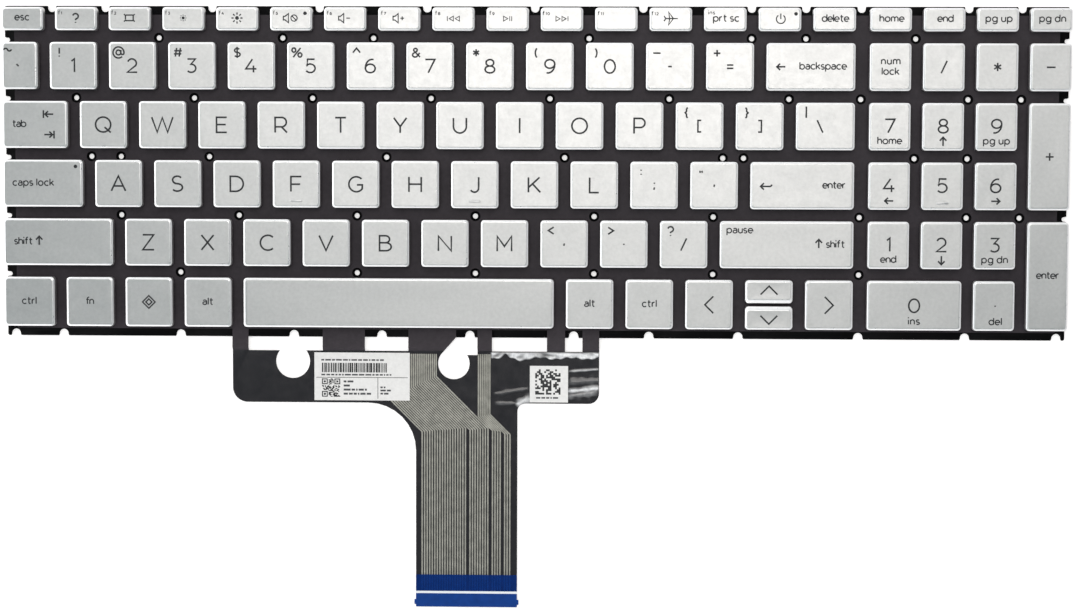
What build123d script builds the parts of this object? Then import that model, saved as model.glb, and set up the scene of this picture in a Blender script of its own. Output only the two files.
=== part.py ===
"""Laptop replacement keyboard: plate, bonded film with its tail, rubber domes, scissors and keycaps.

Sizes are in millimetres. Layout places run from the left and rear edges of the key field, x to the
right and y to the front. place() turns them into the part's frame: X along the long side, Y to the
rear, Z up, with the origin under the middle of the whole outline, tail included.
"""
import os
from collections import namedtuple
from math import atan, cos, degrees, sin

from build123d import *

os.makedirs("parts", exist_ok=True)

# Key field
key_pitch = 18.7
row_pitch = 18.45
cap_width = 15.0
cap_depth = 14.9
first_key_pitch = 15.15
backspace_width = 27.75
function_cap_width = 13.35
function_cap_depth = 7.4
function_row_gap = 3.5
front_cap_depth = 15.65
arrow_cap_depth = 7.4
pad_gap = 4.25
pad_pitch = 16.5
pad_cap_width = 13.0

# Heights and keycap section
plate_thickness = 0.5
film_thickness = 0.25
key_travel = 1.5
pressed_clearance = 0.15
cap_height = 2.2
cap_top_thickness = 0.7
cap_wall = 0.9
cap_side_slope = 0.3
cap_corner = 0.8

# Rubber domes
dome_base_radius = 2.6
dome_top_radius = 1.8
dome_sides = 5
seat_clearance = 0.1

# Base plate
plate_side_inset = 0.7
plate_rear_margin = 0.2
plate_front_margin = 3.15
stake_hole_radius = 0.9
stake_lead = 0.65
stake_lead_end_rows = 0.25
locating_hole_offset = 6.5
hole_sides = 6
notch_radius = 1.5
notch_depth = 2.1
notch_sides = 6
side_notch_radius = 1.3
rear_notch_width = 2.0
rear_notch_depth = 1.5
corner_notch_inset = 2.7

# Bonded film, flap and tail; tabs and windows take turns along the flap, from its left edge
film_inset = 2.4
film_hole_width = 2.9
flap_left = 71.8
tab_widths = (5.1, 13.4, 15.1, 4.6, 5.7, 5.3)
wide_window_width = 23.6
second_window_width = 13.8
neck_width = 6.8
fourth_window_width = 17.4
fifth_window_width = 5.5
window_depth = 4.4
neck_depth = 5.6
neck_slant = (4.4, 5.0)
wide_keyhole_place = (14.1, 7.8)
wide_keyhole_radius = 5.4
small_keyhole_place = (-0.7, 8.3)
small_keyhole_radius = 5.0
wide_window_notch = 14.5
second_window_notch = 5.4
neck_notch = 4.4
fifth_window_notch = 2.7
crease_depth = 5.2
flap_depth = 20.9
flap_left_corner = 4.7
flap_right_corner = 3.3
tail_offset = 58.3
tail_width = 32.2
tail_depth = 86.1
tail_left_fillet = 15.2
tail_right_fillet = 2.5

# Printed conductors on the tail: groups side by side at its end, drawn together towards the crease
trace_groups = (18, 8, 4, 3)
trace_width = 0.45
trace_start_width = 0.34
trace_thickness = 0.06
tail_trace_left = 1.9
tail_trace_pitch = 0.805
trace_group_gap = 0.65
tail_bend_depth = 29.7
main_groups = 2
main_start_left = 49.1
narrow_start_left = 78.0
start_trace_pitch = 0.6
trace_start_inset = 0.4

# Stiffener and stickers
stiffener_depth = 10.3
stiffener_thickness = 0.2
ear_width = 0.5
ear_depth = 1.6
sticker_thickness = 0.1
wide_label_inset = 26.0
wide_label_depth = 5.0
wide_label_size = (30.3, 15.2)
square_label_inset = 9.8
square_label_depth = 8.9
square_label_size = (12.1, 11.6)

# Scissor linkage, modelled under the two homing keys
bar_width = 0.8
bar_thickness = 0.7
arm_width = 1.0
bar_clearance = 0.1
outer_reach = 4.8
outer_half_width = 5.2
inner_reach = 3.5
arm_side_clearance = 0.3
pivot_radius = 0.15
pivot_clearance = 0.1
pivot_sides = 6
pivot_engagement = 0.6
bar_edge = 0.25

# Hooks that hold bars and wires on the plate and on the keycaps
hook_width = 1.0
hook_post = 0.5
hook_lip = 0.35
hook_clearance = 0.2
lip_clearance = 0.12
slide_room = 0.25
hook_root = 0.1
hook_half_spacing = 2.2
slot_clearance = 0.25

# Stabiliser wires under the wide keys
wire_diameter = 0.8
wire_sides = 6
wire_reach = 6.0
wire_rear = 4.6
wire_end = 1.6
wire_side_clearance = 0.6

# Heights worked out from the stack
film_top = plate_thickness + film_thickness
skirt_z = film_top + pressed_clearance + key_travel
cap_top = skirt_z + cap_height
ceiling_z = cap_top - cap_top_thickness
key_gap = key_pitch - cap_width
row_gap = row_pitch - cap_depth

# Layout worked out from the sizes; the number row sets the width of the main block
number_names = ["digit_%s" % d for d in "1234567890"] + ["minus", "equals"]
main_width = first_key_pitch + len(number_names) * key_pitch + backspace_width
board_width = main_width + pad_gap + 3 * pad_pitch + pad_cap_width
number_rear = function_cap_depth + function_row_gap
tab_rear = number_rear + row_pitch
caps_rear = tab_rear + row_pitch
shift_rear = caps_rear + row_pitch
front_rear = shift_rear + row_pitch
keys_front = front_rear + front_cap_depth
plate_front = keys_front + plate_front_margin
outline_depth = plate_rear_margin + plate_front + tail_depth


def place(x, y):
    """Point of the part's frame for a layout place"""
    return (x - board_width / 2, outline_depth / 2 - plate_rear_margin - y)


# Keys, as rectangles on the layout
Key = namedtuple("Key", "name left right rear front")


def middle(key):
    """Layout place of a key's middle"""
    return ((key.left + key.right) / 2, (key.rear + key.front) / 2)


def run_of_keys(names, left, rear, width, depth, pitch):
    """Like keys side by side"""
    return [
        Key(name, left + i * pitch, left + i * pitch + width, rear, rear + depth)
        for i, name in enumerate(names)
    ]


def staggered_row(first, names, last, start, rear):
    """Row of the main block: a first key of its own width, like keys, and a last key to the right edge"""
    end = start + len(names) * key_pitch
    row = [Key(first, 0, start - key_gap, rear, rear + cap_depth)]
    row += run_of_keys(names, start, rear, cap_width, cap_depth, key_pitch)
    row.append(Key(last, end, main_width, rear, rear + cap_depth))
    return row


pad_left = main_width + pad_gap


def pad_keys(names, rear, depth):
    """Keys of the number pad in one row"""
    return run_of_keys(names, pad_left, rear, pad_cap_width, depth, pad_pitch)


function_names = ["esc"] + ["f%d" % n for n in range(1, 13)] + ["print_screen", "power", "delete"]
function_pitch = (main_width - function_cap_width) / (len(function_names) - 1)
function_row = run_of_keys(function_names, 0, 0, function_cap_width, function_cap_depth, function_pitch)
function_row += pad_keys(["home", "end", "page_up", "page_down"], 0, function_cap_depth)

number_row = staggered_row("tilde", number_names, "backspace", first_key_pitch, number_rear)
number_row += pad_keys(["num_lock", "pad_divide", "pad_multiply", "pad_minus"], number_rear, cap_depth)

tab_names = list("qwertyuiop") + ["left_bracket", "right_bracket"]
tab_start = first_key_pitch + key_pitch / 2
tab_row = staggered_row("tab", tab_names, "backslash", tab_start, tab_rear)
tab_row += pad_keys(["pad_7", "pad_8", "pad_9"], tab_rear, cap_depth)

caps_names = list("asdfghjkl") + ["semicolon", "quote"]
caps_start = first_key_pitch + key_pitch * 3 / 4
caps_row = staggered_row("caps_lock", caps_names, "enter", caps_start, caps_rear)
caps_row += pad_keys(["pad_4", "pad_5", "pad_6"], caps_rear, cap_depth)

shift_names = list("zxcvbnm") + ["comma", "period", "slash"]
shift_start = first_key_pitch + key_pitch * 5 / 4
shift_row = staggered_row("left_shift", shift_names, "right_shift", shift_start, shift_rear)
shift_row += pad_keys(["pad_1", "pad_2", "pad_3"], shift_rear, cap_depth)


def front_keys(names, left):
    """Like keys of the front row"""
    return run_of_keys(names, left, front_rear, cap_width, front_cap_depth, key_pitch)


front_start = first_key_pitch + key_pitch / 4
right_start = main_width - cap_width - 4 * key_pitch
arrow_left = right_start + 3 * key_pitch
front_row = [Key("left_ctrl", 0, front_start - key_gap, front_rear, keys_front)]
front_row += front_keys(["fn", "system", "left_alt"], front_start)
front_row += [Key("space", front_start + 3 * key_pitch, right_start - key_gap, front_rear, keys_front)]
front_row += front_keys(["right_alt", "right_ctrl", "left_arrow"], right_start)
front_row += [Key("up_arrow", arrow_left, arrow_left + cap_width, front_rear, front_rear + arrow_cap_depth)]
front_row += [Key("right_arrow", main_width - cap_width, main_width, front_rear, keys_front)]
front_row += [Key("pad_0", pad_left, pad_left + pad_pitch + pad_cap_width, front_rear, keys_front)]
pad_third = pad_left + 2 * pad_pitch
front_row += [Key("pad_point", pad_third, pad_third + pad_cap_width, front_rear, keys_front)]

pad_last = pad_left + 3 * pad_pitch
tall_keys = [
    Key("pad_plus", pad_last, pad_last + pad_cap_width, tab_rear, caps_rear + cap_depth),
    Key("pad_enter", pad_last, pad_last + pad_cap_width, shift_rear, keys_front),
    Key("down_arrow", arrow_left, arrow_left + cap_width, keys_front - arrow_cap_depth, keys_front),
]
rows = [function_row, number_row, tab_row, caps_row, shift_row, front_row, tall_keys]
keys = {key.name: key for row in rows for key in row}

moving_names = list("qwertyuiopasdfghjklzxcvbnm")
moving_names += ["space", "enter", "backspace", "tab", "caps_lock", "left_shift", "right_shift"]
moving_names += ["left_arrow", "up_arrow", "down_arrow", "right_arrow", "pad_plus", "pad_enter", "pad_0"]
moving_names += ["esc", "delete", "left_ctrl", "right_ctrl"]
scissor_names = ["f", "j"]
wire_names = ["space"]


def fixed_keys(row):
    """Keys of a row that share one node"""
    return [key for key in row if key.name not in moving_names]


def gap_after(row, index):
    """Layout x of the middle of the gap after one key of a row"""
    return (row[index].right + row[index + 1].left) / 2


# Hooks: an L in the YZ plane, a post beside a bar and a lip past its middle
Hook = namedtuple("Hook", "x y z half_size side up room")


def hook_outline(hook, root_z):
    """Corners of a hook on a YZ plane, from its root to its lip"""
    post_near = hook.y + hook.side * (hook.half_size + hook_clearance + hook.room)
    post_far = post_near + hook.side * hook_post
    lip_near = hook.z + hook.up * (hook.half_size + lip_clearance)
    lip_far = lip_near + hook.up * hook_lip
    return [
        (post_far, root_z), (post_far, lip_far), (hook.y, lip_far),
        (hook.y, lip_near), (post_near, lip_near), (post_near, root_z),
    ]


bar_half = bar_width / 2
lower_bar_z = film_top + bar_clearance + bar_thickness / 2
upper_bar_z = ceiling_z - bar_clearance - bar_thickness / 2
wire_half = wire_diameter / 2
lower_wire_z = film_top + bar_clearance + wire_half
upper_wire_z = ceiling_z - bar_clearance - wire_half


def wire_half_length(key):
    """Half the length of a stabiliser's long bar"""
    return (key.right - key.left) / 2 - cap_wall - wire_side_clearance - wire_end


def plate_hooks(key):
    """Hooks that stand on the plate under one key"""
    x, y = place(*middle(key))
    hooks = []
    if key.name in scissor_names:
        hooks.append(Hook(x, y + outer_reach, lower_bar_z, bar_half, 1, 1, 0))
        for dx in (-hook_half_spacing, hook_half_spacing):
            hooks.append(Hook(x + dx, y - inner_reach, lower_bar_z, bar_half, 1, 1, 0))
    if key.name in wire_names:
        end = wire_half_length(key) + wire_end / 2
        for dx in (-end, end):
            hooks.append(Hook(x + dx, y + wire_rear - wire_reach, lower_wire_z, wire_half, -1, 1, 0))
    return hooks


def cap_hooks(key):
    """Hooks that hang from the ceiling of one keycap"""
    x, y = place(*middle(key))
    hooks = []
    if key.name in scissor_names:
        hooks.append(Hook(x, y - outer_reach, upper_bar_z, bar_half, -1, -1, slide_room))
        for dx in (-hook_half_spacing, hook_half_spacing):
            hooks.append(Hook(x + dx, y + inner_reach, upper_bar_z, bar_half, -1, -1, 0))
    if key.name in wire_names:
        reach = wire_half_length(key) / 2
        for dx in (-reach, reach):
            hooks.append(Hook(x + dx, y + wire_rear, upper_wire_z, wire_half, -1, -1, 0))
    return hooks


all_plate_hooks = [hook for key in keys.values() for hook in plate_hooks(key)]

# Stake holes: places in the gaps between keys, by row
function_stake_y = number_rear - function_row_gap / 2 + stake_lead_end_rows
tab_stake_y = tab_rear - row_gap / 2 + stake_lead
caps_stake_y = tab_stake_y + row_pitch
shift_stake_y = caps_stake_y + row_pitch
front_stake_y = front_rear - row_gap / 2 + stake_lead_end_rows

pattern_gaps = (4, 10)
pattern_stakes = [(gap_after(shift_row, i), y) for i in pattern_gaps for y in (shift_stake_y, front_stake_y)]
other_stakes = [(gap_after(function_row, i), function_stake_y) for i in (2, 6, 10, 13, 14, 16)]
other_stakes += [(gap_after(number_row, 4), function_stake_y)]
other_stakes += [(gap_after(tab_row, i), tab_stake_y) for i in (0, 2, 4, 6, 8, 10, 12, 13, 15)]
other_stakes += [(pad_last - (pad_pitch - pad_cap_width) / 2, y) for y in (tab_stake_y, shift_stake_y)]
other_stakes += [(gap_after(caps_row, i), caps_stake_y) for i in (0, 2, 5, 8, 11, 13, 14)]
other_stakes += [(gap_after(caps_row, 11) - locating_hole_offset, caps_stake_y)]
other_stakes += [(gap_after(shift_row, 0), y) for y in (caps_stake_y, shift_stake_y)]
other_stakes += [(gap_after(shift_row, i), shift_stake_y) for i in (2, 6, 8, 11, 13)]
other_stakes += [(gap_after(shift_row, i), front_stake_y) for i in (1, 6, 8, 11)]

# Places along the flap, as it alternates between tabs and windows
window_widths = (wide_window_width, second_window_width, neck_width, fourth_window_width, fifth_window_width)
window_lefts = []
flap_right = flap_left
for tab_width, window_width in zip(tab_widths, window_widths):
    window_lefts.append(flap_right + tab_width)
    flap_right += tab_width + window_width
flap_right += tab_widths[-1]
wide_window_left, second_window_left, neck_left, fourth_window_left, fifth_window_left = window_lefts
tail_left = flap_left + tail_offset
wide_keyhole = (wide_window_left + wide_keyhole_place[0], plate_front + wide_keyhole_place[1])
small_keyhole = (neck_left + small_keyhole_place[0], plate_front + small_keyhole_place[1])

# Notches in the plate's edges
rear_notches = [gap_after(function_row, i) for i in (0, 1, 3, 5, 7, 9, 11, 13, 14, 15, 17, 18)]
side_notches = [row[0].rear - row_gap / 2 for row in rows[1:6]]
front_notches = [corner_notch_inset, board_width - corner_notch_inset]
front_notches += [gap_after(front_row, i) for i in (0, 2, 7, 9, 10)]
front_notches += [middle(keys["right_ctrl"])[0]]
front_notches += [wide_window_left + wide_window_notch, second_window_left + second_window_notch]
front_notches += [neck_left + neck_notch, fifth_window_left + fifth_window_notch]

# Base plate
with BuildPart() as base_plate:
    with BuildSketch():
        with BuildLine():
            Polyline(
                place(plate_side_inset, -plate_rear_margin),
                place(board_width - plate_side_inset, -plate_rear_margin),
                place(board_width - plate_side_inset, plate_front),
                place(plate_side_inset, plate_front),
                close=True,
            )
        make_face()
        with Locations(*[place(*stake) for stake in pattern_stakes]):
            Circle(stake_hole_radius, mode=Mode.SUBTRACT)
        with Locations(*[place(*stake) for stake in other_stakes]):
            RegularPolygon(stake_hole_radius, hole_sides, mode=Mode.SUBTRACT)
        with Locations(*[place(x, plate_front + notch_radius - notch_depth) for x in front_notches]):
            RegularPolygon(notch_radius, notch_sides, mode=Mode.SUBTRACT)
        with Locations(*[place(x, plate_front) for x in front_notches]):
            Rectangle(2 * notch_radius, 2 * (notch_depth - notch_radius), mode=Mode.SUBTRACT)
        for edge_x in (plate_side_inset, board_width - plate_side_inset):
            with Locations(*[place(edge_x, y) for y in side_notches]):
                RegularPolygon(side_notch_radius, hole_sides, mode=Mode.SUBTRACT)
        with Locations(*[place(x, -plate_rear_margin) for x in rear_notches]):
            Rectangle(rear_notch_width, 2 * rear_notch_depth, mode=Mode.SUBTRACT)
    extrude(amount=plate_thickness)
    for hook in all_plate_hooks:
        with BuildSketch(Plane.YZ.offset(hook.x)):
            Polygon(*hook_outline(hook, plate_thickness - hook_root), align=None)
        extrude(amount=hook_width / 2, both=True)

# Bonded film: one bent sheet that lies on the plate, steps down to the floor and becomes the tail
sheet_rear = film_inset - plate_rear_margin
sheet_front = plate_front - film_inset
sheet_left = plate_side_inset + film_inset
sheet_right = board_width - plate_side_inset - film_inset
crease_y = plate_front + crease_depth
flap_front = plate_front + flap_depth
tail_right = tail_left + tail_width
tail_end = plate_front + tail_depth
window_front = plate_front + window_depth
neck_front = plate_front + neck_depth


def window(left, width, front):
    """Cut a rectangular window into the flap from the sheet's front edge"""
    Polygon(
        place(left, sheet_front), place(left + width, sheet_front),
        place(left + width, front), place(left, front),
        align=None,
        mode=Mode.SUBTRACT,
    )


with BuildPart() as membrane:
    with BuildSketch(Plane.YZ):
        edge_points = [
            (place(0, sheet_rear)[1], plate_thickness),
            (place(0, plate_front)[1], plate_thickness),
            (place(0, crease_y)[1], 0),
            (place(0, tail_end)[1], 0),
        ]
        with BuildLine():
            Polyline(*edge_points, *[(y, z + film_thickness) for y, z in reversed(edge_points)], close=True)
        make_face()
    extrude(amount=board_width / 2, both=True)
    with BuildSketch() as film_plan:
        with BuildLine():
            Polyline(
                place(sheet_left, sheet_rear), place(sheet_right, sheet_rear),
                place(sheet_right, sheet_front), place(flap_right, sheet_front),
                place(flap_right, flap_front), place(tail_right, flap_front),
                place(tail_right, tail_end), place(tail_left, tail_end),
                place(tail_left, flap_front), place(flap_left, flap_front),
                place(flap_left, sheet_front), place(sheet_left, sheet_front),
                close=True,
            )
        make_face()
        for x, radius in (
            (flap_left, flap_left_corner), (flap_right, flap_right_corner),
            (tail_left, tail_left_fillet), (tail_right, tail_right_fillet),
        ):
            fillet(film_plan.vertices().sort_by_distance(place(x, flap_front))[0], radius)
        window(wide_window_left, wide_window_width, window_front)
        window(second_window_left, second_window_width, window_front)
        window(neck_left, neck_width, neck_front)
        window(fourth_window_left, fourth_window_width, window_front)
        window(fifth_window_left, fifth_window_width, window_front)
        with BuildLine():
            Polyline(
                place(neck_left, plate_front),
                place(neck_left, neck_front),
                place(neck_left - neck_slant[0], plate_front + neck_slant[1]),
                close=True,
            )
        make_face(mode=Mode.SUBTRACT)
        with Locations(place(*wide_keyhole)):
            Circle(wide_keyhole_radius, mode=Mode.SUBTRACT)
        with Locations(place(*small_keyhole)):
            Circle(small_keyhole_radius, mode=Mode.SUBTRACT)
        with Locations(*[place(*stake) for stake in pattern_stakes + other_stakes]):
            Rectangle(film_hole_width, film_hole_width, mode=Mode.SUBTRACT)
        for hook in all_plate_hooks:
            post_middle = hook.y + hook.side * (hook.half_size + hook_clearance + hook_post / 2)
            with Locations((hook.x, post_middle)):
                Rectangle(hook_width + 2 * slot_clearance, hook_post + 2 * slot_clearance, mode=Mode.SUBTRACT)
    extrude(amount=film_top, mode=Mode.INTERSECT)

# Conductors printed on the tail, each a ribbon with two bends
trace_top_z = film_thickness + trace_thickness
trace_start = crease_y + trace_start_inset


tail_bend = plate_front + tail_bend_depth


def trace(start_x, tail_x, last_bend):
    """Draw one ribbon: forward from the crease, across at 45 degrees, and along the tail to its end"""
    near = trace_start_width / 2
    half = trace_width / 2
    first_bend = last_bend - (tail_x - start_x)
    Polygon(
        place(start_x - near, trace_start), place(start_x + near, trace_start),
        place(start_x + near, first_bend), place(tail_x + half, last_bend),
        place(tail_x + half, tail_end), place(tail_x - half, tail_end),
        place(tail_x - half, last_bend), place(start_x - near, first_bend),
        align=None,
    )


with BuildPart() as tail_traces:
    with BuildSketch(Plane.XY.offset(film_thickness)):
        tail_x = tail_left + tail_trace_left
        for group, count in enumerate(trace_groups):
            if group in (0, main_groups):
                start_x = flap_left + (main_start_left if group < main_groups else narrow_start_left)
            for i in range(count):
                trace(start_x, tail_x, tail_bend + group * trace_group_gap)
                start_x += start_trace_pitch
                tail_x += tail_trace_pitch
            tail_x += trace_group_gap
    extrude(amount=trace_thickness)

# Stiffener at the tail's end, with ears beside it
with BuildPart() as tail_stiffener:
    with BuildSketch(Plane.XY.offset(trace_top_z)):
        with Locations(place(tail_left + tail_width / 2, tail_end - stiffener_depth / 2)):
            Rectangle(tail_width, stiffener_depth)
        with Locations(place(tail_left + tail_width / 2, tail_end - ear_depth)):
            Rectangle(tail_width + 2 * ear_width, ear_depth)
    extrude(amount=stiffener_thickness)


def sticker(left, rear, width, depth):
    """Thin sticker on the flap, over the conductors"""
    with BuildPart() as label:
        with BuildSketch(Plane.XY.offset(trace_top_z)):
            with Locations(place(left + width / 2, rear + depth / 2)):
                Rectangle(width, depth)
        extrude(amount=sticker_thickness)
    return label.part


wide_label = sticker(flap_left + wide_label_inset, plate_front + wide_label_depth, *wide_label_size)
square_label_left = flap_right - square_label_inset - square_label_size[0]
square_label = sticker(square_label_left, plate_front + square_label_depth, *square_label_size)


# Rubber domes, one under the middle of every key
dome_height = ceiling_z - seat_clearance - film_top
with BuildPart() as rubber_domes:
    with BuildSketch(Plane.XY.offset(film_top)):
        with Locations(*[place(*middle(key)) for key in keys.values()]):
            RegularPolygon(dome_base_radius, dome_sides)
    extrude(amount=dome_height, taper=degrees(atan((dome_base_radius - dome_top_radius) / dome_height)))


def keycaps(group):
    """Hollow keycaps with chamfered corners and sloping sides, one solid for each key"""
    with BuildPart() as caps:
        with BuildSketch(Plane.XY.offset(skirt_z)) as outline:
            for key in group:
                with Locations(place(*middle(key))):
                    Rectangle(key.right - key.left, key.front - key.rear)
            chamfer(outline.vertices(), cap_corner)
        extrude(amount=cap_height, taper=degrees(atan(cap_side_slope / cap_height)))
        with BuildSketch(Plane.XY.offset(skirt_z)):
            for key in group:
                with Locations(place(*middle(key))):
                    Rectangle(key.right - key.left - 2 * cap_wall, key.front - key.rear - 2 * cap_wall)
        extrude(amount=ceiling_z - skirt_z, mode=Mode.SUBTRACT)
        for hook in [hook for key in group for hook in cap_hooks(key)]:
            with BuildSketch(Plane.YZ.offset(hook.x)):
                Polygon(*hook_outline(hook, ceiling_z + hook_root), align=None)
            extrude(amount=hook_width / 2, both=True)
    return caps.part


def scissor_frame(key, reach, half_width, rise):
    """Flat frame between two bars, tilted so that rise = -1 has its rear bar low and +1 has it high"""
    x, y = place(*middle(key))
    tilt = atan((upper_bar_z - lower_bar_z) / (2 * reach))
    length = 2 * reach / cos(tilt)
    crossing = (x, y, (lower_bar_z + upper_bar_z) / 2)
    with BuildPart() as frame:
        with BuildSketch(Plane(crossing, x_dir=(1, 0, 0), z_dir=(0, -rise * sin(tilt), cos(tilt)))):
            Rectangle(2 * half_width, length + bar_width)
            Rectangle(2 * (half_width - arm_width), length - bar_width, mode=Mode.SUBTRACT)
        extrude(amount=bar_thickness / 2, both=True)
        across = frame.edges().filter_by(Axis.X).sort_by(Axis.Y)
        chamfer(across[:2] + across[-2:], bar_edge)
        if rise < 0:
            with BuildSketch(Plane.YZ.offset(x)):
                with Locations((y, crossing[2])):
                    RegularPolygon(pivot_radius + pivot_clearance, pivot_sides)
            extrude(amount=half_width, both=True, mode=Mode.SUBTRACT)
        else:
            for direction in (-1, 1):
                root = (x + direction * (half_width - hook_root), y, crossing[2])
                with BuildSketch(Plane(root, x_dir=(0, 1, 0), z_dir=(direction, 0, 0))):
                    RegularPolygon(pivot_radius, pivot_sides)
                extrude(amount=hook_root + arm_side_clearance + pivot_engagement)
    return frame.part


def stabiliser_wire(key):
    """Bent wire: a long bar under the keycap, two arms, and ends that turn in the plate's hooks"""
    x, y = place(*middle(key))
    half = wire_half_length(key)
    bar_y = y + wire_rear
    end_y = bar_y - wire_reach
    with BuildPart() as wire:
        with BuildLine() as route:
            Polyline(
                (x - half - wire_end, end_y, lower_wire_z), (x - half, end_y, lower_wire_z),
                (x - half, bar_y, upper_wire_z), (x + half, bar_y, upper_wire_z),
                (x + half, end_y, lower_wire_z), (x + half + wire_end, end_y, lower_wire_z),
            )
        with BuildSketch(Plane(route.line @ 0, z_dir=route.line % 0)):
            RegularPolygon(wire_half, wire_sides)
        sweep(path=route.line, transition=Transition.RIGHT)
    return wire.part


fixed_pad_keys = [key for row in rows[1:6] for key in fixed_keys(row) if key.left >= pad_left]
fixed_side_keys = [key for row in rows[2:6] for key in fixed_keys(row) if key.left < pad_left]
pieces = {
    "base_plate": base_plate.part,
    "membrane": membrane.part,
    "tail_traces": tail_traces.part,
    "tail_stiffener": tail_stiffener.part,
    "wide_label": wide_label,
    "square_label": square_label,
    "rubber_domes": rubber_domes.part,
    "function_keycaps": keycaps(fixed_keys(function_row)),
    "number_row_keycaps": keycaps(fixed_keys(number_row[:13])),
    "number_pad_keycaps": keycaps(fixed_pad_keys),
    "side_keycaps": keycaps(fixed_side_keys),
}
inner_half_width = outer_half_width - arm_width - arm_side_clearance
for name in moving_names:
    pieces[name + "_keycap"] = keycaps([keys[name]])
for name in scissor_names:
    pieces[name + "_outer_scissor"] = scissor_frame(keys[name], outer_reach, outer_half_width, -1)
    pieces[name + "_inner_scissor"] = scissor_frame(keys[name], inner_reach, inner_half_width, 1)
for name in wire_names:
    pieces[name + "_wire"] = stabiliser_wire(keys[name])

for name, piece in pieces.items():
    piece.label = name
    export_step(piece, "parts/%s.step" % name)
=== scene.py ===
"""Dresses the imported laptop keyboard: keycaps with printed legends, plate, film, domes, links and tail"""
import math
from collections import namedtuple

import bpy
import numpy as np
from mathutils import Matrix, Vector
from mathutils.geometry import delaunay_2d_cdt


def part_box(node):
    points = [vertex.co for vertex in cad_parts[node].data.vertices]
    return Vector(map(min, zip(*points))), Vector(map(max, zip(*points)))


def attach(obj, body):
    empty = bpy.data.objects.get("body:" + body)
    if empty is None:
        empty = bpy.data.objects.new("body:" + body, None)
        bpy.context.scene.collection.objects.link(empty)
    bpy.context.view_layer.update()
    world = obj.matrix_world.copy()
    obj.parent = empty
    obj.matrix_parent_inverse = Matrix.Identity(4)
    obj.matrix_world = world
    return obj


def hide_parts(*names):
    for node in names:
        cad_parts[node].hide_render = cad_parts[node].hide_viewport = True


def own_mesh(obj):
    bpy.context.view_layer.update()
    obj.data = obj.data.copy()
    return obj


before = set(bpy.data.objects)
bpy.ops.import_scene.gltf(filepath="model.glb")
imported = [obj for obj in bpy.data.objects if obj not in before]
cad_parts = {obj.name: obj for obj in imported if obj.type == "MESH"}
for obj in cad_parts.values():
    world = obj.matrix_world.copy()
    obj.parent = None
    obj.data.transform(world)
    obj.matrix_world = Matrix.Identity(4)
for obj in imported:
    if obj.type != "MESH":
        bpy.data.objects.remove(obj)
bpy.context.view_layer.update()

bl_info = {
    "name": "Laptop keyboard dresser",
    "version": (1, 0, 0),
    "blender": (4, 5, 0),
    "location": "3D View > Sidebar > Keyboard",
    "description": "Keycaps, legends, plate, film and tail of a laptop replacement keyboard",
    "category": "Object",
}

MM = 0.001
MOVING = sorted(name[:-7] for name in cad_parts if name.endswith("_keycap"))
GROUPS = ("function_keycaps", "number_row_keycaps", "number_pad_keycaps", "side_keycaps")
Key = namedtuple("Key", "name left right front rear")


def node_box(name):
    """Lowest and highest corner of a CAD node as two arrays, in metres"""
    low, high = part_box(name)
    return np.array(low, float), np.array(high, float)


PLATE_LOW, PLATE_HIGH = node_box("base_plate")
FILM_LOW, FILM_HIGH = node_box("membrane")
CAP_LOW, CAP_HIGH = node_box("a_keycap")
STIFF_LOW = node_box("tail_stiffener")[0]
DOME_LOW, DOME_HIGH = node_box("rubber_domes")


def length(name, text, default):
    """A length property, in metres"""
    return bpy.props.FloatProperty(name=name, description=text, default=default, unit="LENGTH", precision=5)


def colour(name, text, default):
    """A colour property, linear"""
    return bpy.props.FloatVectorProperty(
        name=name, description=text, default=default, size=3, min=0, max=1, subtype="COLOR"
    )


class KeyboardSizes(bpy.types.PropertyGroup):
    """Sizes that the CAD nodes leave open"""

    corner: length("Cap corner", "Radius of a keycap's corners in plan", 1.1 * MM)
    slope: length("Cap slope", "How far a keycap's sides lean in", 0.1 * MM)
    edge_width: length("Edge width", "Width of the bevel round a keycap's top", 0.52 * MM)
    edge_drop: length("Edge drop", "Height of the bevel round a keycap's top", 0.28 * MM)
    edge_round: length("Edge round", "Radius between a keycap's bevel and its sides", 0.1 * MM)
    dish: length("Dish", "Depth of the shallow hollow in a keycap's top", 0.05 * MM)
    cap_wall: length("Cap wall", "Thickness of a keycap's skirt", 0.9 * MM)
    cap_roof: length("Cap roof", "Thickness of a keycap's top", 0.7 * MM)
    arrow_ramp: length("Arrow ramp", "Slope between the up and down keys", 0.6 * MM)
    ink_lift: length("Ink lift", "How far the print stands over the paint", 0.03 * MM)
    hole: length("Stake hole", "Radius of the stake holes in the plate", 0.83 * MM)
    film_hole: length("Film hole", "Radius of the film's clearance round a stake hole", 1.6 * MM)
    film: length("Film", "Thickness of the bonded film", 0.25 * MM)
    wrinkle: length("Wrinkle", "Height of the flap's wrinkles", 0.35 * MM)


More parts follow.
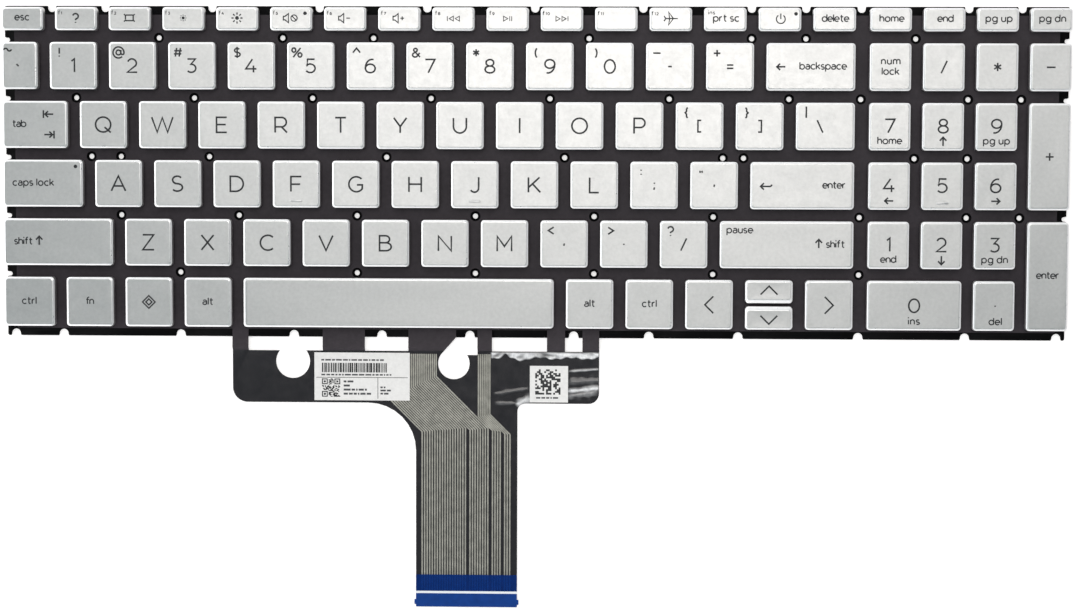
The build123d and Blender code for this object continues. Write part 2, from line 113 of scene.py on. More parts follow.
class KeyboardColours(bpy.types.PropertyGroup):
    """Colours of the finishes"""

    paint: colour("Keycap paint", "Satin silver paint", (0.60, 0.60, 0.597))
    # Bevel colour: lighter than the keycap paint, a painted highlight for the light that the bevels catch
    edge: colour("Keycap edge", "Brighter paint of the bevels", (0.86, 0.86, 0.86))
    ink: colour("Legend ink", "Dark grey print", (0.016, 0.0165, 0.019))
    plate: colour("Plate", "Black coat of the metal plate", (0.0018, 0.0018, 0.0022))
    film: colour("Film", "Charcoal film", (0.046, 0.039, 0.045))
    flap: colour("Flap", "Glossy film of the flap and tail", (0.0100, 0.0075, 0.0100))
    conductor: colour("Conductors", "Silver ink of the tail", (0.38, 0.37, 0.325))
    stiffener: colour("Stiffener", "Blue end of the tail", (0.004, 0.042, 0.23))
    paper: colour("Labels", "White sticker stock", (0.84, 0.825, 0.81))
    rubber: colour("Domes", "Milky rubber", (0.55, 0.55, 0.53))
    link: colour("Links", "Natural moulded plastic", (0.62, 0.62, 0.60))
    wire: colour("Wire", "Spring steel", (0.55, 0.55, 0.54))


def sizes():
    """The scene's sizes"""
    return bpy.context.scene.keyboard_sizes


def colours():
    """The scene's colours"""
    return bpy.context.scene.keyboard_colours


# Layout of the keys, from the boxes of the keycaps that have a node of their own

def cap_rectangle(name):
    """Plan rectangle of a moving keycap"""
    low, high = node_box(name + "_keycap")
    return Key(name, low[0], high[0], low[1], high[1])


def key_layout():
    """Moving keys by name, and fixed keys by group: like keys are stepped by the pitch from Q to W"""
    moving = {name: cap_rectangle(name) for name in MOVING}
    q, a, z, esc, ctrl = (moving[name] for name in ("q", "a", "z", "esc", "left_ctrl"))
    back, plus, zero = moving["backspace"], moving["pad_plus"], moving["pad_0"]
    pitch = moving["w"].left - q.left
    wide = q.right - q.left
    gap = pitch - wide
    pad_pitch = (plus.left - zero.left) / 3
    pad_wide = plus.right - plus.left

    def run(names, left, row, step=pitch, width=wide):
        lefts = [left + i * step for i in range(len(names))]
        return [Key(name, x, x + width, row.front, row.rear) for name, x in zip(names, lefts)]

    def pad(names, row, column=0):
        return run(names, zero.left + column * pad_pitch, row, pad_pitch, pad_wide)

    step = (moving["delete"].left - esc.left) / 15
    names = ["f%d" % n for n in range(1, 13)] + ["print_screen", "power"]
    function = run(names, esc.left + step, esc, step, esc.right - esc.left)
    function += pad(["home", "end", "page_up", "page_down"], esc)
    first = q.left - pitch / 2
    number = [Key("tilde", esc.left, first - gap, back.front, back.rear)]
    number += run(["digit_" + d for d in "1234567890"] + ["minus", "equals"], first, back)
    side = run(["left_bracket", "right_bracket"], moving["p"].left + pitch, q)
    side.append(Key("backslash", side[-1].right + gap, back.right, q.front, q.rear))
    side += run(["semicolon", "quote"], moving["l"].left + pitch, a)
    side += run(["comma", "period", "slash"], moving["m"].left + pitch, z)
    side += run(["fn", "system", "left_alt"], ctrl.right + gap, ctrl)
    side += run(["right_alt"], moving["right_ctrl"].left - pitch, ctrl)
    pads = pad(["num_lock", "pad_divide", "pad_multiply", "pad_minus"], back)
    pads += pad(["pad_7", "pad_8", "pad_9"], q) + pad(["pad_4", "pad_5", "pad_6"], a)
    pads += pad(["pad_1", "pad_2", "pad_3"], z) + pad(["pad_point"], ctrl, 2)
    return moving, dict(zip(GROUPS, (function, number, pads, side)))


MOVING_KEYS, FIXED_KEYS = key_layout()


def middle_of(key):
    """Plan place of a key's middle"""
    return (key.left + key.right) / 2, (key.front + key.rear) / 2


# Meshes

def make_piece(name, verts, faces, material, body, replaced=(), slot=None, smooth=None):
    """Mesh object from an array of points and arrays of faces, one for each number of corners"""
    mesh = bpy.data.meshes.new(name)
    faces = [np.asarray(f, np.int32) for f in faces if len(f)]
    corners = np.concatenate([f.ravel() for f in faces])
    totals = np.concatenate([np.full(len(f), f.shape[1], np.int32) for f in faces])
    starts = np.concatenate([[0], np.cumsum(totals)[:-1]]).astype(np.int32)
    mesh.vertices.add(len(verts))
    mesh.vertices.foreach_set("co", np.asarray(verts, np.float32).ravel())
    mesh.loops.add(len(corners))
    mesh.loops.foreach_set("vertex_index", corners)
    mesh.polygons.add(len(totals))
    mesh.polygons.foreach_set("loop_start", starts)
    mesh.polygons.foreach_set("loop_total", totals)
    mesh.update(calc_edges=True)
    if mesh.validate():
        raise RuntimeError(name + " has a faulty face")
    if smooth is not None:
        mesh.shade_smooth()
        mesh.set_sharp_from_angle(angle=math.radians(smooth))
    piece = bpy.data.objects.new(name, mesh)
    bpy.context.collection.objects.link(piece)
    mesh.materials.append(material)
    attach(piece, body)
    if replaced:
        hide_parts(*replaced)
    return piece


def second_finish(piece, material, chosen):
    """Give a second material to the faces that a test of their middles and normals picks"""
    mesh = piece.data
    middles = np.empty(len(mesh.polygons) * 3, np.float32)
    normals = np.empty_like(middles)
    mesh.polygons.foreach_get("center", middles)
    mesh.polygons.foreach_get("normal", normals)
    mesh.materials.append(material)
    picked = chosen(middles.reshape(-1, 3), normals.reshape(-1, 3))
    mesh.polygons.foreach_set("material_index", picked.astype(np.int32))


def joined(parts):
    """Several (points, faces) pairs as one pair"""
    points, faces, count = [], {}, 0
    for verts, groups in parts:
        points.append(verts)
        for group in groups:
            if len(group):
                faces.setdefault(np.shape(group)[1], []).append(np.asarray(group) + count)
        count += len(verts)
    return np.concatenate(points), [np.concatenate(group) for group in faces.values()]


def grid_faces(rings, count):
    """Quads between closed rings of equal count; ring i + 1 lies to the left of ring i as it is walked"""
    index = np.arange(rings * count).reshape(rings, count)
    after = np.roll(index, -1, axis=1)
    return np.stack([index[:-1], after[:-1], after[1:], index[1:]], axis=-1).reshape(-1, 4)


def shell(rings):
    """Closed skin over a stack of rings, each of points walked anticlockwise, with its ends filled"""
    rings = np.asarray(rings)
    count = rings.shape[1]
    last = np.arange(count) + (len(rings) - 1) * count
    return rings.reshape(-1, 3), [grid_faces(len(rings), count), [np.arange(count)[::-1], last]]


def rounded_rectangle(left, right, front, rear, radius, steps=5):
    """Plan points of a rectangle with round corners: quarter circles, anticlockwise from the right front"""
    turn = np.linspace(0, math.pi / 2, steps)
    angle = (np.array([-1, 0, 1, 2])[:, None] * math.pi / 2 + turn).ravel()
    middle_x = np.repeat([right - radius, right - radius, left + radius, left + radius], steps)
    middle_y = np.repeat([front + radius, rear - radius, rear - radius, front + radius], steps)
    return np.stack([middle_x + radius * np.cos(angle), middle_y + radius * np.sin(angle)], axis=1)


def inside(points, loop):
    """Whether each point lies in a closed loop: the edges that a ray to the right crosses are counted"""
    x, y = points[:, :1], points[:, 1:]
    ax, ay = loop[:, 0], loop[:, 1]
    bx, by = np.roll(ax, -1), np.roll(ay, -1)
    rise = np.where(by == ay, 1e-12, by - ay)
    crossed = ((ay > y) != (by > y)) & (x < ax + (y - ay) / rise * (bx - ax))
    return crossed.sum(axis=1) % 2 == 1


def cut_sheet(outer, holes, height, thickness, points=(), lines=()):
    """Sheet with cut-outs: its plan is triangulated between the loops, keeping what lies in the outer loop
    and in no hole. Its underside lies at height(x, y), and walls close every cut edge."""
    loops = [outer] + list(holes)
    starts = np.cumsum([0] + [len(loop) for loop in loops])
    plan = np.concatenate(loops + [np.reshape(part, (-1, 2)) for part in (*lines, points)])
    edges = [
        np.stack([np.arange(len(loop)), np.roll(np.arange(len(loop)), -1)], axis=1) + start
        for loop, start in zip(loops, starts)
    ]
    count = starts[-1]
    for line in lines:
        edges.append(np.stack([np.arange(len(line) - 1), np.arange(1, len(line))], axis=1) + count)
        count += len(line)
    edges = np.concatenate(edges).tolist()
    found = delaunay_2d_cdt([Vector(p) for p in (plan / MM).tolist()], edges, [], 0, 1e-4, False)
    plan = np.array([tuple(p) for p in found[0]]) * MM
    faces = np.array(found[2])
    middles = plan[faces].mean(axis=1)
    keep = inside(middles, outer)
    for hole in holes:
        keep &= ~inside(middles, hole)
    faces = faces[keep]
    a, b, c = (plan[faces[:, i]] for i in range(3))
    turned = (b[:, 0] - a[:, 0]) * (c[:, 1] - a[:, 1]) - (b[:, 1] - a[:, 1]) * (c[:, 0] - a[:, 0]) < 0
    faces[turned] = faces[turned][:, ::-1]
    used, faces = np.unique(faces, return_inverse=True)
    faces = faces.reshape(-1, 3)
    plan = plan[used]
    directed = np.concatenate([faces[:, [0, 1]], faces[:, [1, 2]], faces[:, [2, 0]]])
    codes = directed[:, 0] * len(plan) + directed[:, 1]
    rim = directed[~np.isin(codes, directed[:, 1] * len(plan) + directed[:, 0])]
    low = height(plan[:, 0], plan[:, 1])
    verts = np.concatenate([np.column_stack([plan, low + thickness]), np.column_stack([plan, low])])
    under = len(plan)
    walls = np.stack([rim[:, 0] + under, rim[:, 1] + under, rim[:, 1], rim[:, 0]], axis=1)
    return verts, [np.concatenate([faces, faces[:, ::-1] + under]), walls]


def circle(x, y, radius, count):
    """Plan points of a circle"""
    angle = np.arange(count) * 2 * math.pi / count
    return np.stack([x + radius * np.cos(angle), y + radius * np.sin(angle)], axis=1)


# Materials

# Depth of a finish's fine grain, in metres
GRAIN = 0.00002


def new_material(name):
    """Material with its Principled shader, and a maker for more nodes"""
    material = bpy.data.materials.new(name)
    material.use_nodes = True
    tree = material.node_tree
    shader = tree.nodes["Principled BSDF"]

    def node(kind, inputs=(), **settings):
        made = tree.nodes.new(kind)
        for key, value in settings.items():
            setattr(made, key, value)
        for key, value in dict(inputs).items():
            if isinstance(value, bpy.types.NodeSocket):
                tree.links.new(value, made.inputs[key])
            else:
                made.inputs[key].default_value = value
        return made

    return material, shader, node, tree.links.new


def place_of(node):
    """Object coordinates in metres"""
    return node("ShaderNodeTexCoord").outputs["Object"]


def varied(node, link, shader, colour, place, scale, spread, target="Base Color"):
    """Colour that wanders by a share of itself on a noise of the given scale"""
    noise = node("ShaderNodeTexNoise", {"Vector": place, "Scale": scale, "Detail": 4.0, "Roughness": 0.6})
    ramp = node("ShaderNodeValToRGB", {"Fac": noise.outputs["Fac"]})
    for stop, share, position in ((0, 1 - spread, 0.3), (1, 1 + spread, 0.7)):
        ramp.color_ramp.elements[stop].position = position
        ramp.color_ramp.elements[stop].color = (*[min(1, v * share) for v in colour], 1)
    if target:
        link(ramp.outputs["Color"], shader.inputs[target])
    return ramp.outputs["Color"]


def varied_value(node, link, shader, place, scale, low, high):
    """Roughness that wanders between two values"""
    noise = node("ShaderNodeTexNoise", {"Vector": place, "Scale": scale, "Detail": 3.0})
    mapped = node("ShaderNodeMapRange", {"Value": noise.outputs["Fac"], "From Min": 0.3, "From Max": 0.7,
                                         "To Min": low, "To Max": high})
    link(mapped.outputs["Result"], shader.inputs["Roughness"])


def bumped(node, link, shader, place, scale, distance, strength):
    """Fine relief from noise"""
    noise = node("ShaderNodeTexNoise", {"Vector": place, "Scale": scale, "Detail": 2.0})
    relief = {"Height": noise.outputs["Fac"], "Distance": distance, "Strength": strength}
    link(node("ShaderNodeBump", relief).outputs["Normal"], shader.inputs["Normal"])


FINISHES = {}


def finish_of(name, colour, scale, spread, rough, relief=None, **sockets):
    """Plain finish: colour and roughness on noise, and fine relief where the surface has grain"""
    if name in FINISHES:
        return FINISHES[name]
    material, shader, node, link = new_material(name)
    FINISHES[name] = material
    place = place_of(node)
    varied(node, link, shader, colour, place, scale, spread)
    varied_value(node, link, shader, place, scale * 0.6, *rough)
    if relief:
        bumped(node, link, shader, place, *relief)
    for socket, value in sockets.items():
        shader.inputs[socket.replace("_", " ")].default_value = value
    return material


def keycap_paint():
    """Satin silver paint: fine metal flake in a clear binder"""
    return finish_of(
        "satin_silver", colours().paint, 900.0, 0.05, (0.31, 0.37), (5200.0, GRAIN, 0.15), Metallic=0.85
    )


def bevel_highlight_paint():
    """Paint of the keycaps' bevels, smoother than on their tops, in a lighter colour: a painted highlight for
    the light that the bevels catch
    """
    return finish_of("bright_edge", colours().edge, 900.0, 0.04, (0.27, 0.33), Metallic=0.85)


def legend_ink():
    """Screen-printed dark grey ink"""
    return finish_of("legend_ink", colours().ink, 2500.0, 0.2, (0.5, 0.65))


# Keycaps

# Angles in degrees up to which edges are shaded smooth, on keycaps and on other skins
CAP_SMOOTH, SKIN_SMOOTH = 35, 40


def keycap_skin(key):
    """Hollow keycap as rings of a rounded rectangle, from the roof inside over the skirt to the dished top.
    Each ring is inset from the plan; the edge round the top is a straight bevel with a small round below it.
    On the up and down keys the bevel between them is wider and goes deeper at the same tilt."""
    s = sizes()
    low, high = CAP_LOW[2], CAP_HIGH[2]
    ramp_front = s.arrow_ramp if key.name == "up_arrow" else 0
    ramp_rear = s.arrow_ramp if key.name == "down_arrow" else 0
    side, drop = s.slope, s.edge_drop + s.edge_round
    edge = [
        (side + a * s.edge_round, high - drop + b * s.edge_round, 1)
        for a, b in ((0, 0), (0.2, 0.6), (0.6, 0.9))
    ]
    edge += [
        (side + s.edge_round * 0.6 + a * s.edge_width, high - s.edge_drop * (1 - b), 1)
        for a, b in ((0.08, 0.08), (0.9, 0.9), (1.08, 1))
    ]
    profile = [(s.cap_wall, high - s.cap_roof, 0), (s.cap_wall, low, 0), (0, low, 0)] + edge
    rings = []
    for inset, z, ramped in profile:
        share = ramped * max(0, (z - high + drop) / drop)
        radius = max(0.1 * MM, s.corner - inset * 0.5) if inset < s.cap_wall else 0.3 * MM
        plan = rounded_rectangle(
            key.left + inset, key.right - inset, key.front + inset + ramp_front * share,
            key.rear - inset - ramp_rear * share, radius,
        )
        ramp = np.where(plan[:, 1] * 2 < key.front + key.rear, ramp_front, ramp_rear)
        rings.append(np.column_stack([plan, z - ramped * (1 - share) * ramp * s.edge_drop / s.edge_width]))
    rim = rings[-1][:, :2]
    centre = (rim.min(axis=0) + rim.max(axis=0)) / 2
    reach = np.abs(rim - centre).max(axis=0)
    for share in (0.985, 0.9, 0.75, 0.5, 0.25):
        plan = centre + (rim - centre) * share
        rings.append(np.column_stack([plan, dished(plan, centre, reach, high)]))
    return shell(rings)


def dished(plan, centre, reach, high):
    """Height of a keycap's top: the rim less a shallow hollow, a product of two parabolas"""
    u, v = ((plan - centre) / reach).T
    return high - sizes().dish * np.clip(1 - u ** 2, 0, 1) * np.clip(1 - v ** 2, 0, 1)


HOMING = ("f", "j", "pad_5")
# Homing bar: its way ahead of the key's middle, half its length and width, its rise and how deep it is sunk
BAR_AHEAD, BAR_HALF_LENGTH, BAR_HALF_WIDTH = 5.3 * MM, 1.5 * MM, 0.42 * MM
BAR_RISE, BAR_SUNK = 0.3 * MM, 0.06 * MM


def homing_bar(key):
    """Raised bar near the front of a homing key: half an ellipsoid drawn out along X"""
    x, y = middle_of(key)
    y -= BAR_AHEAD
    rings = []
    for t in np.linspace(0, math.pi / 2, 5)[:-1]:
        r = BAR_HALF_WIDTH * math.cos(t)
        plan = rounded_rectangle(x - BAR_HALF_LENGTH - r, x + BAR_HALF_LENGTH + r, y - r, y + r, r * 0.999, 6)
        z = CAP_HIGH[2] - BAR_SUNK + BAR_RISE * math.sin(t)
        rings.append(np.column_stack([plan, np.full(len(plan), z)]))
    return shell(rings)


def cap_parts(key):
    """Skins that make up one keycap"""
    return [keycap_skin(key)] + ([homing_bar(key)] if key.name in HOMING else [])


def on_bevel(middles, normals):
    """Which faces of a keycap belong to its bevel"""
    return (middles[:, 2] < CAP_HIGH[2] - 0.01 * MM) & (normals[:, 2] > 0.6) & (normals[:, 2] < 0.98)


class KEYBOARD_OT_keycaps(bpy.types.Operator):
    """Build every keycap with rounded edges and a dished top, in place of the CAD keycaps"""

    bl_idname = "keyboard.keycaps"
    bl_label = "Keycaps"

    def execute(self, context):
        paint, edge = keycap_paint(), bevel_highlight_paint()
        built = [(name + "_cap", [key], name + "_key", name + "_keycap") for name, key in MOVING_KEYS.items()]
        built += [
            (group.replace("keycaps", "caps"), keys, "base", group) for group, keys in FIXED_KEYS.items()
        ]
        for name, keys, body, node in built:
            skin = joined([part for key in keys for part in cap_parts(key)])
            cap = make_piece(name, *skin, paint, body, [node], "keycap_paint", CAP_SMOOTH)
            # The bevels take the lighter colour, a painted highlight
            second_finish(cap, edge, on_bevel)
        return {"FINISHED"}


# Legends: strokes on a unit square; "x,y" is a point and "@x,y,rx,ry,from,to" an arc, in degrees

CAPITALS = {
    "A": "0,0 .48,1 .96,0;.17,.33 .79,.33",
    "B": "0,.53 .42,.53 @.44,.265,.34,.265,90,-90 0,0 0,1 .4,1 @.4,.765,.27,.235,90,-90",
    "C": "@.51,.5,.51,.5,48,312",
    "D": "0,0 0,1 .36,1 @.36,.5,.51,.5,90,-90 0,0",
    "E": ".69,1 0,1 0,0 .69,0;0,.52 .62,.52",
    "F": "0,0 0,1 .7,1;0,.49 .62,.49",
    "G": "@.5,.5,.5,.5,45,322 .9,.46 .54,.46",
    "H": "0,0 0,1;.82,0 .82,1;0,.52 .82,.52",
    "I": "0,0 0,1",
    "J": ".54,1 .54,.28 @.26,.28,.28,.28,0,-150",
    "K": "0,0 0,1;.74,1 0,.32;.27,.57 .8,0",
    "L": "0,1 0,0 .61,0",
    "M": "0,0 0,1 .48,.32 .96,1 .96,0",
    "N": "0,0 0,1 .86,0 .86,1",
    "O": "@.51,.5,.51,.5,0,360",
    "P": "0,0 0,1 .42,1 @.42,.7,.3,.3,90,-90 0,.4",
    "Q": "@.51,.5,.51,.5,0,360;.6,.33 1.02,-.03",
    "R": "0,0 0,1 .45,1 @.45,.69,.3,.31,90,-90 0,.38;.42,.38 .8,0",
    "S": "@.35,.75,.31,.25,35,270 @.35,.25,.35,.25,90,-145",
    "T": "0,1 .72,1;.36,1 .36,0",
    "U": "0,1 0,.43 @.43,.43,.43,.43,180,360 .86,1",
    "V": "0,1 .46,0 .92,1",
    "W": "0,1 .36,0 .71,.97 1.06,0 1.42,1",
    "X": "0,1 .82,0;.82,1 0,0",
    "Y": "0,1 .43,.42 .86,1;.43,.42 .43,0",
    "Z": "0,1 .74,1 0,0 .76,0",
}
FIGURES = {
    "0": "@.4,.5,.4,.5,0,360",
    "1": "0,.82 .22,1 .22,0",
    "2": "@.35,.68,.33,.32,160,-35 0,0 .74,0",
    "3": ".04,1 .64,1 .3,.61 @.32,.305,.35,.305,90,-140",
    "4": ".5,1 0,.27 .8,.27;.58,.52 .58,0",
    "5": ".66,1 .13,1 .07,.54 @.33,.32,.37,.32,135,-145",
    "6": "@.38,.32,.37,.32,0,360;@.52,.36,.51,.64,180,78",
    "7": "0,1 .72,1 .22,0",
    "8": "@.37,.76,.29,.24,0,360;@.37,.26,.36,.26,0,360",
    "9": "@.37,.68,.37,.32,0,360;@.23,.64,.51,.64,0,-102",
}
LETTERS = {
    "a": "@.42,.64,.4,.36,145,0 .82,0;.82,.58 .4,.58 @.36,.29,.36,.29,90,270 .44,0 @.44,.34,.38,.34,270,330",
    "b": "0,1.5 0,0;@.5,.5,.5,.5,0,360",
    "c": "@.5,.5,.5,.5,48,312",
    "d": "1,1.5 1,0;@.5,.5,.5,.5,0,360",
    "e": ".02,.5 .98,.5 @.5,.5,.49,.5,0,312",
    "f": ".66,1.5 @.6,1.16,.34,.34,90,180 .26,0;0,1 .6,1",
    "g": "@.5,.5,.5,.5,0,360;1,1 1,-.02 @.5,-.02,.5,.44,0,-150",
    "h": "0,1.5 0,0;0,.56 @.42,.56,.42,.44,180,0 .84,0",
    "i": "0,1 0,0;0,1.34 0,1.58",
    "k": "0,1.5 0,0;.76,1 0,.36;.28,.6 .82,0",
    "l": "0,1.5 0,0",
    "m": "0,1 0,0;0,.6 @.36,.6,.36,.4,180,0 .72,0;.72,.6 @1.08,.6,.36,.4,180,0 1.44,0",
    "n": "0,1 0,0;0,.56 @.42,.56,.42,.44,180,0 .84,0",
    "o": "@.5,.5,.5,.5,0,360",
    "p": "0,1 0,-.5;@.5,.5,.5,.5,0,360",
    "r": "0,1 0,0;0,.5 @.46,.5,.46,.5,180,80",
    "s": "@.34,.74,.3,.26,35,270 @.34,.25,.34,.25,90,-145",
    "t": ".25,1.42 .25,.3 @.54,.3,.29,.3,180,285;0,1 .64,1",
    "u": "0,1 0,.43 @.42,.43,.42,.43,180,360 .84,1;.84,.4 .84,0",
}
SIGNS = {
    "!": "0,1 0,.32;0,.1 0,-.02",
    "@": ".9,.76 .9,.38 @1.08,.4,.18,.16,190,350 @.62,.47,.64,.64,0,312;@.62,.47,.28,.28,0,360",
    "#": ".3,1 .14,0;.74,1 .58,0;.02,.68 .9,.68;-.02,.32 .84,.32",
    "$": "@.34,.73,.3,.23,35,270 @.34,.26,.34,.24,90,-145;.34,1.14 .34,-.14",
    "%": "1,1.04 .14,-.04;@.22,.78,.22,.24,0,360;@.92,.22,.22,.24,0,360",
    "^": "0,.5 .42,1.02 .84,.5",
    "&": ".9,0 .21,.7 @.38,.81,.2,.19,215,-40 .14,.42 @.34,.25,.3,.25,140,310 .86,.48",
    "*": ".36,.92 .36,.12;.02,.72 .7,.32;.7,.72 .02,.32",
    "(": "@.85,.5,.85,.86,142,218",
    ")": "@-.5,.5,.85,.86,38,-38",
    "_": "0,.5 .84,.5",
    "-": "0,.5 .36,.5",
    "+": "0,.5 .76,.5;.38,.88 .38,.12",
    "=": "0,.66 .62,.66;0,.34 .62,.34",
    "~": "@.19,.45,.19,.17,175,15 @.56,.54,.19,.17,195,355",
    "`": "0,.62 .22,.42",
    "{": ".36,1.06 .25,1.02 .2,.9 .2,.66 .04,.5 .2,.34 .2,.1 .25,-.02 .36,-.06",
    "}": "0,1.06 .11,1.02 .16,.9 .16,.66 .32,.5 .16,.34 .16,.1 .11,-.02 0,-.06",
    "[": ".32,1.06 0,1.06 0,-.06 .32,-.06",
    "]": "0,1.06 .32,1.06 .32,-.06 0,-.06",
    "|": "0,1.15 0,-.15",
    "\\": "0,1.1 .56,-.1",
    "/": ".56,1.1 0,-.1",
    ":": "0,.76 0,.64;0,.3 0,.18",
    ";": ".05,.76 .05,.64;.06,.3 0,.06",
    "\"": "0,.66 .04,.42;.24,.66 .28,.42",
    "'": ".05,.6 0,.36",
    "<": ".62,.92 0,.52 .62,.12",
    ">": "0,.92 .62,.52 0,.12",
    ",": ".07,.56 0,.32",
    ".": "0,.56 0,.43",
    "?": "@.32,.72,.32,.3,165,-62 .32,.36 .32,.26;.32,.07 .32,-.05",
    "left": "0,.5 .98,.5;.38,.86 0,.5 .38,.14",
    "right": "0,.5 .98,.5;.6,.86 .98,.5 .6,.14",
    "up": ".38,1 .38,0;0,.6 .38,1 .76,.6",
    "down": ".38,0 .38,1;0,.4 .38,0 .76,.4",
    "tab_back": "0,.95 0,.05;.18,.5 1.15,.5;.55,.85 .18,.5 .55,.15",
    "tab_on": "1.15,.95 1.15,.05;0,.5 .97,.5;.6,.85 .97,.5 .6,.15",
    "return": "0,.34 1.04,.34 @1.04,.6,.26,.26,270,350;.38,.72 0,.34 .38,-.04",
    "open_left": ".5,1 0,.5 .5,0",
    "open_right": "0,1 .5,.5 0,0",
    "open_up": "0,0 .5,.5 1,0",
    "open_down": "0,.5 .5,0 1,.5",
    "diamond": ".5,1 1,.5 .5,0 0,.5 .5,1;.5,.74 .74,.5 .5,.26 .26,.5 .5,.74",
    "screen": ".22,.3 .22,.7 @.37,.73,.15,.15,180,90 1.13,.88 @1.13,.73,.15,.15,90,0 1.28,.3 "
              "@1.13,.27,.15,.15,0,-90 .37,.12 @.37,.27,.15,.15,270,180;"
              "0,1 .26,.8;1.5,1 1.24,.8;0,0 .26,.2;1.5,0 1.24,.2",
    "dim_sun": ".5,.82 .5,.94;.5,.18 .5,.06;.06,.5 .18,.5;.82,.5 .94,.5;"
               ".74,.74 .82,.82;.26,.26 .18,.18;.26,.74 .18,.82;.74,.26 .82,.18",
    "sun": ".5,.95 .5,1.26;.5,.05 .5,-.26;-.26,.5 .05,.5;.95,.5 1.26,.5;"
           ".82,.82 1.03,1.03;.18,.18 -.03,-.03;.18,.82 -.03,1.03;.82,.18 1.03,-.03",
    "speaker": "0,.3 .2,.3 .56,0 .56,1 .2,.7 0,.7 0,.3",
    "mute": "@.42,.5,.42,.42,0,360;.13,.8 .71,.2",
    "less": "0,.5 .5,.5",
    "more": "0,.5 .5,.5;.25,.75 .25,.25",
    "earlier": "0,1 0,0;1.25,1 .4,.5 1.25,0 1.25,1;2.5,1 1.65,.5 2.5,0 2.5,1",
    "play": "0,1 .9,.5 0,0 0,1;1.3,1 1.3,0;1.7,1 1.7,0",
    "later": "2.5,1 2.5,0;1.25,1 2.1,.5 1.25,0 1.25,1;0,1 .85,.5 0,0 0,1",
    "plane": "0,.78 .2,.5 0,.22;.2,.5 1.5,.5;.62,.5 .5,1.2 1.02,.5 .5,-.2 .62,.5",
    "power": "@.5,.46,.48,.48,125,415;.5,1.06 .5,.46",
    "dot": "0,.5 .01,.5",
}
GLYPHS = {**CAPITALS, **FIGURES, **LETTERS, **SIGNS}


def strokes_of(name):
    """Strokes of one sign as arrays of points; an arc has a point about every 15 degrees"""
    strokes = []
    for text in GLYPHS[name].split(";"):
        parts = []
        for item in text.split():
            numbers = [float(v) for v in item.lstrip("@").split(",")]
            if item.startswith("@"):
                x, y, rx, ry, start, end = numbers
                angle = np.radians(np.linspace(start, end, max(3, int(abs(end - start) / 15) + 1)))
                parts.append(np.stack([x + rx * np.cos(angle), y + ry * np.sin(angle)], axis=1))
            else:
                parts.append(np.array([numbers]))
        points = np.concatenate(parts)
        moved = np.abs(np.diff(points, axis=0)).sum(axis=1) > 1e-6
        strokes.append(points[np.concatenate([[True], moved])])
    return strokes


def ribbon(points, width):
    """Flat band along a stroke: each point moved half the width to both sides, along its corner's mitre"""
    along = np.diff(points, axis=0)
    along /= np.linalg.norm(along, axis=1)[:, None]
    before, after = np.concatenate([along[:1], along]), np.concatenate([along, along[-1:]])
    if np.abs(points[0] - points[-1]).max() < 1e-9:
        before[0], after[-1] = along[-1], along[0]
    mean = before + after
    mean /= np.maximum(np.linalg.norm(mean, axis=1), 1e-6)[:, None]
    stretch = 1 / np.clip((mean * after).sum(axis=1), 0.5, 1)
    aside = np.stack([-mean[:, 1], mean[:, 0]], axis=1) * (width / 2 * stretch)[:, None]
    plan = np.concatenate([points - aside, points + aside])
    i = np.arange(len(points) - 1)
    return plan, np.stack([i, i + 1, i + 1 + len(points), i + len(points)], axis=1)


# Style: height of the unit square, width of the stroke, gap between signs, in millimetres
STYLES = {
    "letter": (4.7, 0.55, 0.0),
    "digit": (4.15, 0.53, 0.5),
    "shift": (2.7, 0.50, 0.3),
    "sign": (3.2, 0.50, 0.3),
    "word": (1.42, 0.38, 0.78),
    "tiny": (0.75, 0.21, 0.42),
    "icon": (2.3, 0.34, 0.4),
    "bold_icon": (2.3, 0.42, 0.0),
    "media": (1.5, 0.25, 0.0),
    "broad": (2.85, 0.37, 0.0),
    "chevron": (5.3, 0.50, 0.0),
    "lamp": (1.1, 1.15, 0.0),
    "symbol": (4.0, 0.44, 0.0),
}
# Space between words as a share of the height, and the points of a round lamp
WORD_SPACE, LAMP_POINTS = 0.55, 16


def set_out(signs, height, gap):
    """Strokes of signs side by side with a gap between them, and the length of the whole"""
    placed, pen = [], 0.0
    for sign in signs:
        if sign == " ":
            pen += height * WORD_SPACE
            continue
        strokes = [stroke * height for stroke in strokes_of(sign)]
        left = min(stroke[:, 0].min() for stroke in strokes)
        right = max(stroke[:, 0].max() for stroke in strokes)
        placed += [stroke + (pen - left, 0) for stroke in strokes]
        pen += right - left + gap
    return placed, pen - gap


def legend_strokes(text, style, x, y, width=None):
    """Strokes of a legend and their weight, its middle at x, y in millimetres from the key's middle; a word
    can be spaced out to a width"""
    height, weight, gap = STYLES[style]
    signs = [text] if text in SIGNS else list(text)
    placed, long = set_out(signs, height, gap)
    if width is not None and len(signs) > 1:
        gap += (width - weight - long) / (len(signs) - 1)
        placed, long = set_out(signs, height, gap)
    return [(stroke + (x - long / 2, y - height / 2), weight) for stroke in placed]


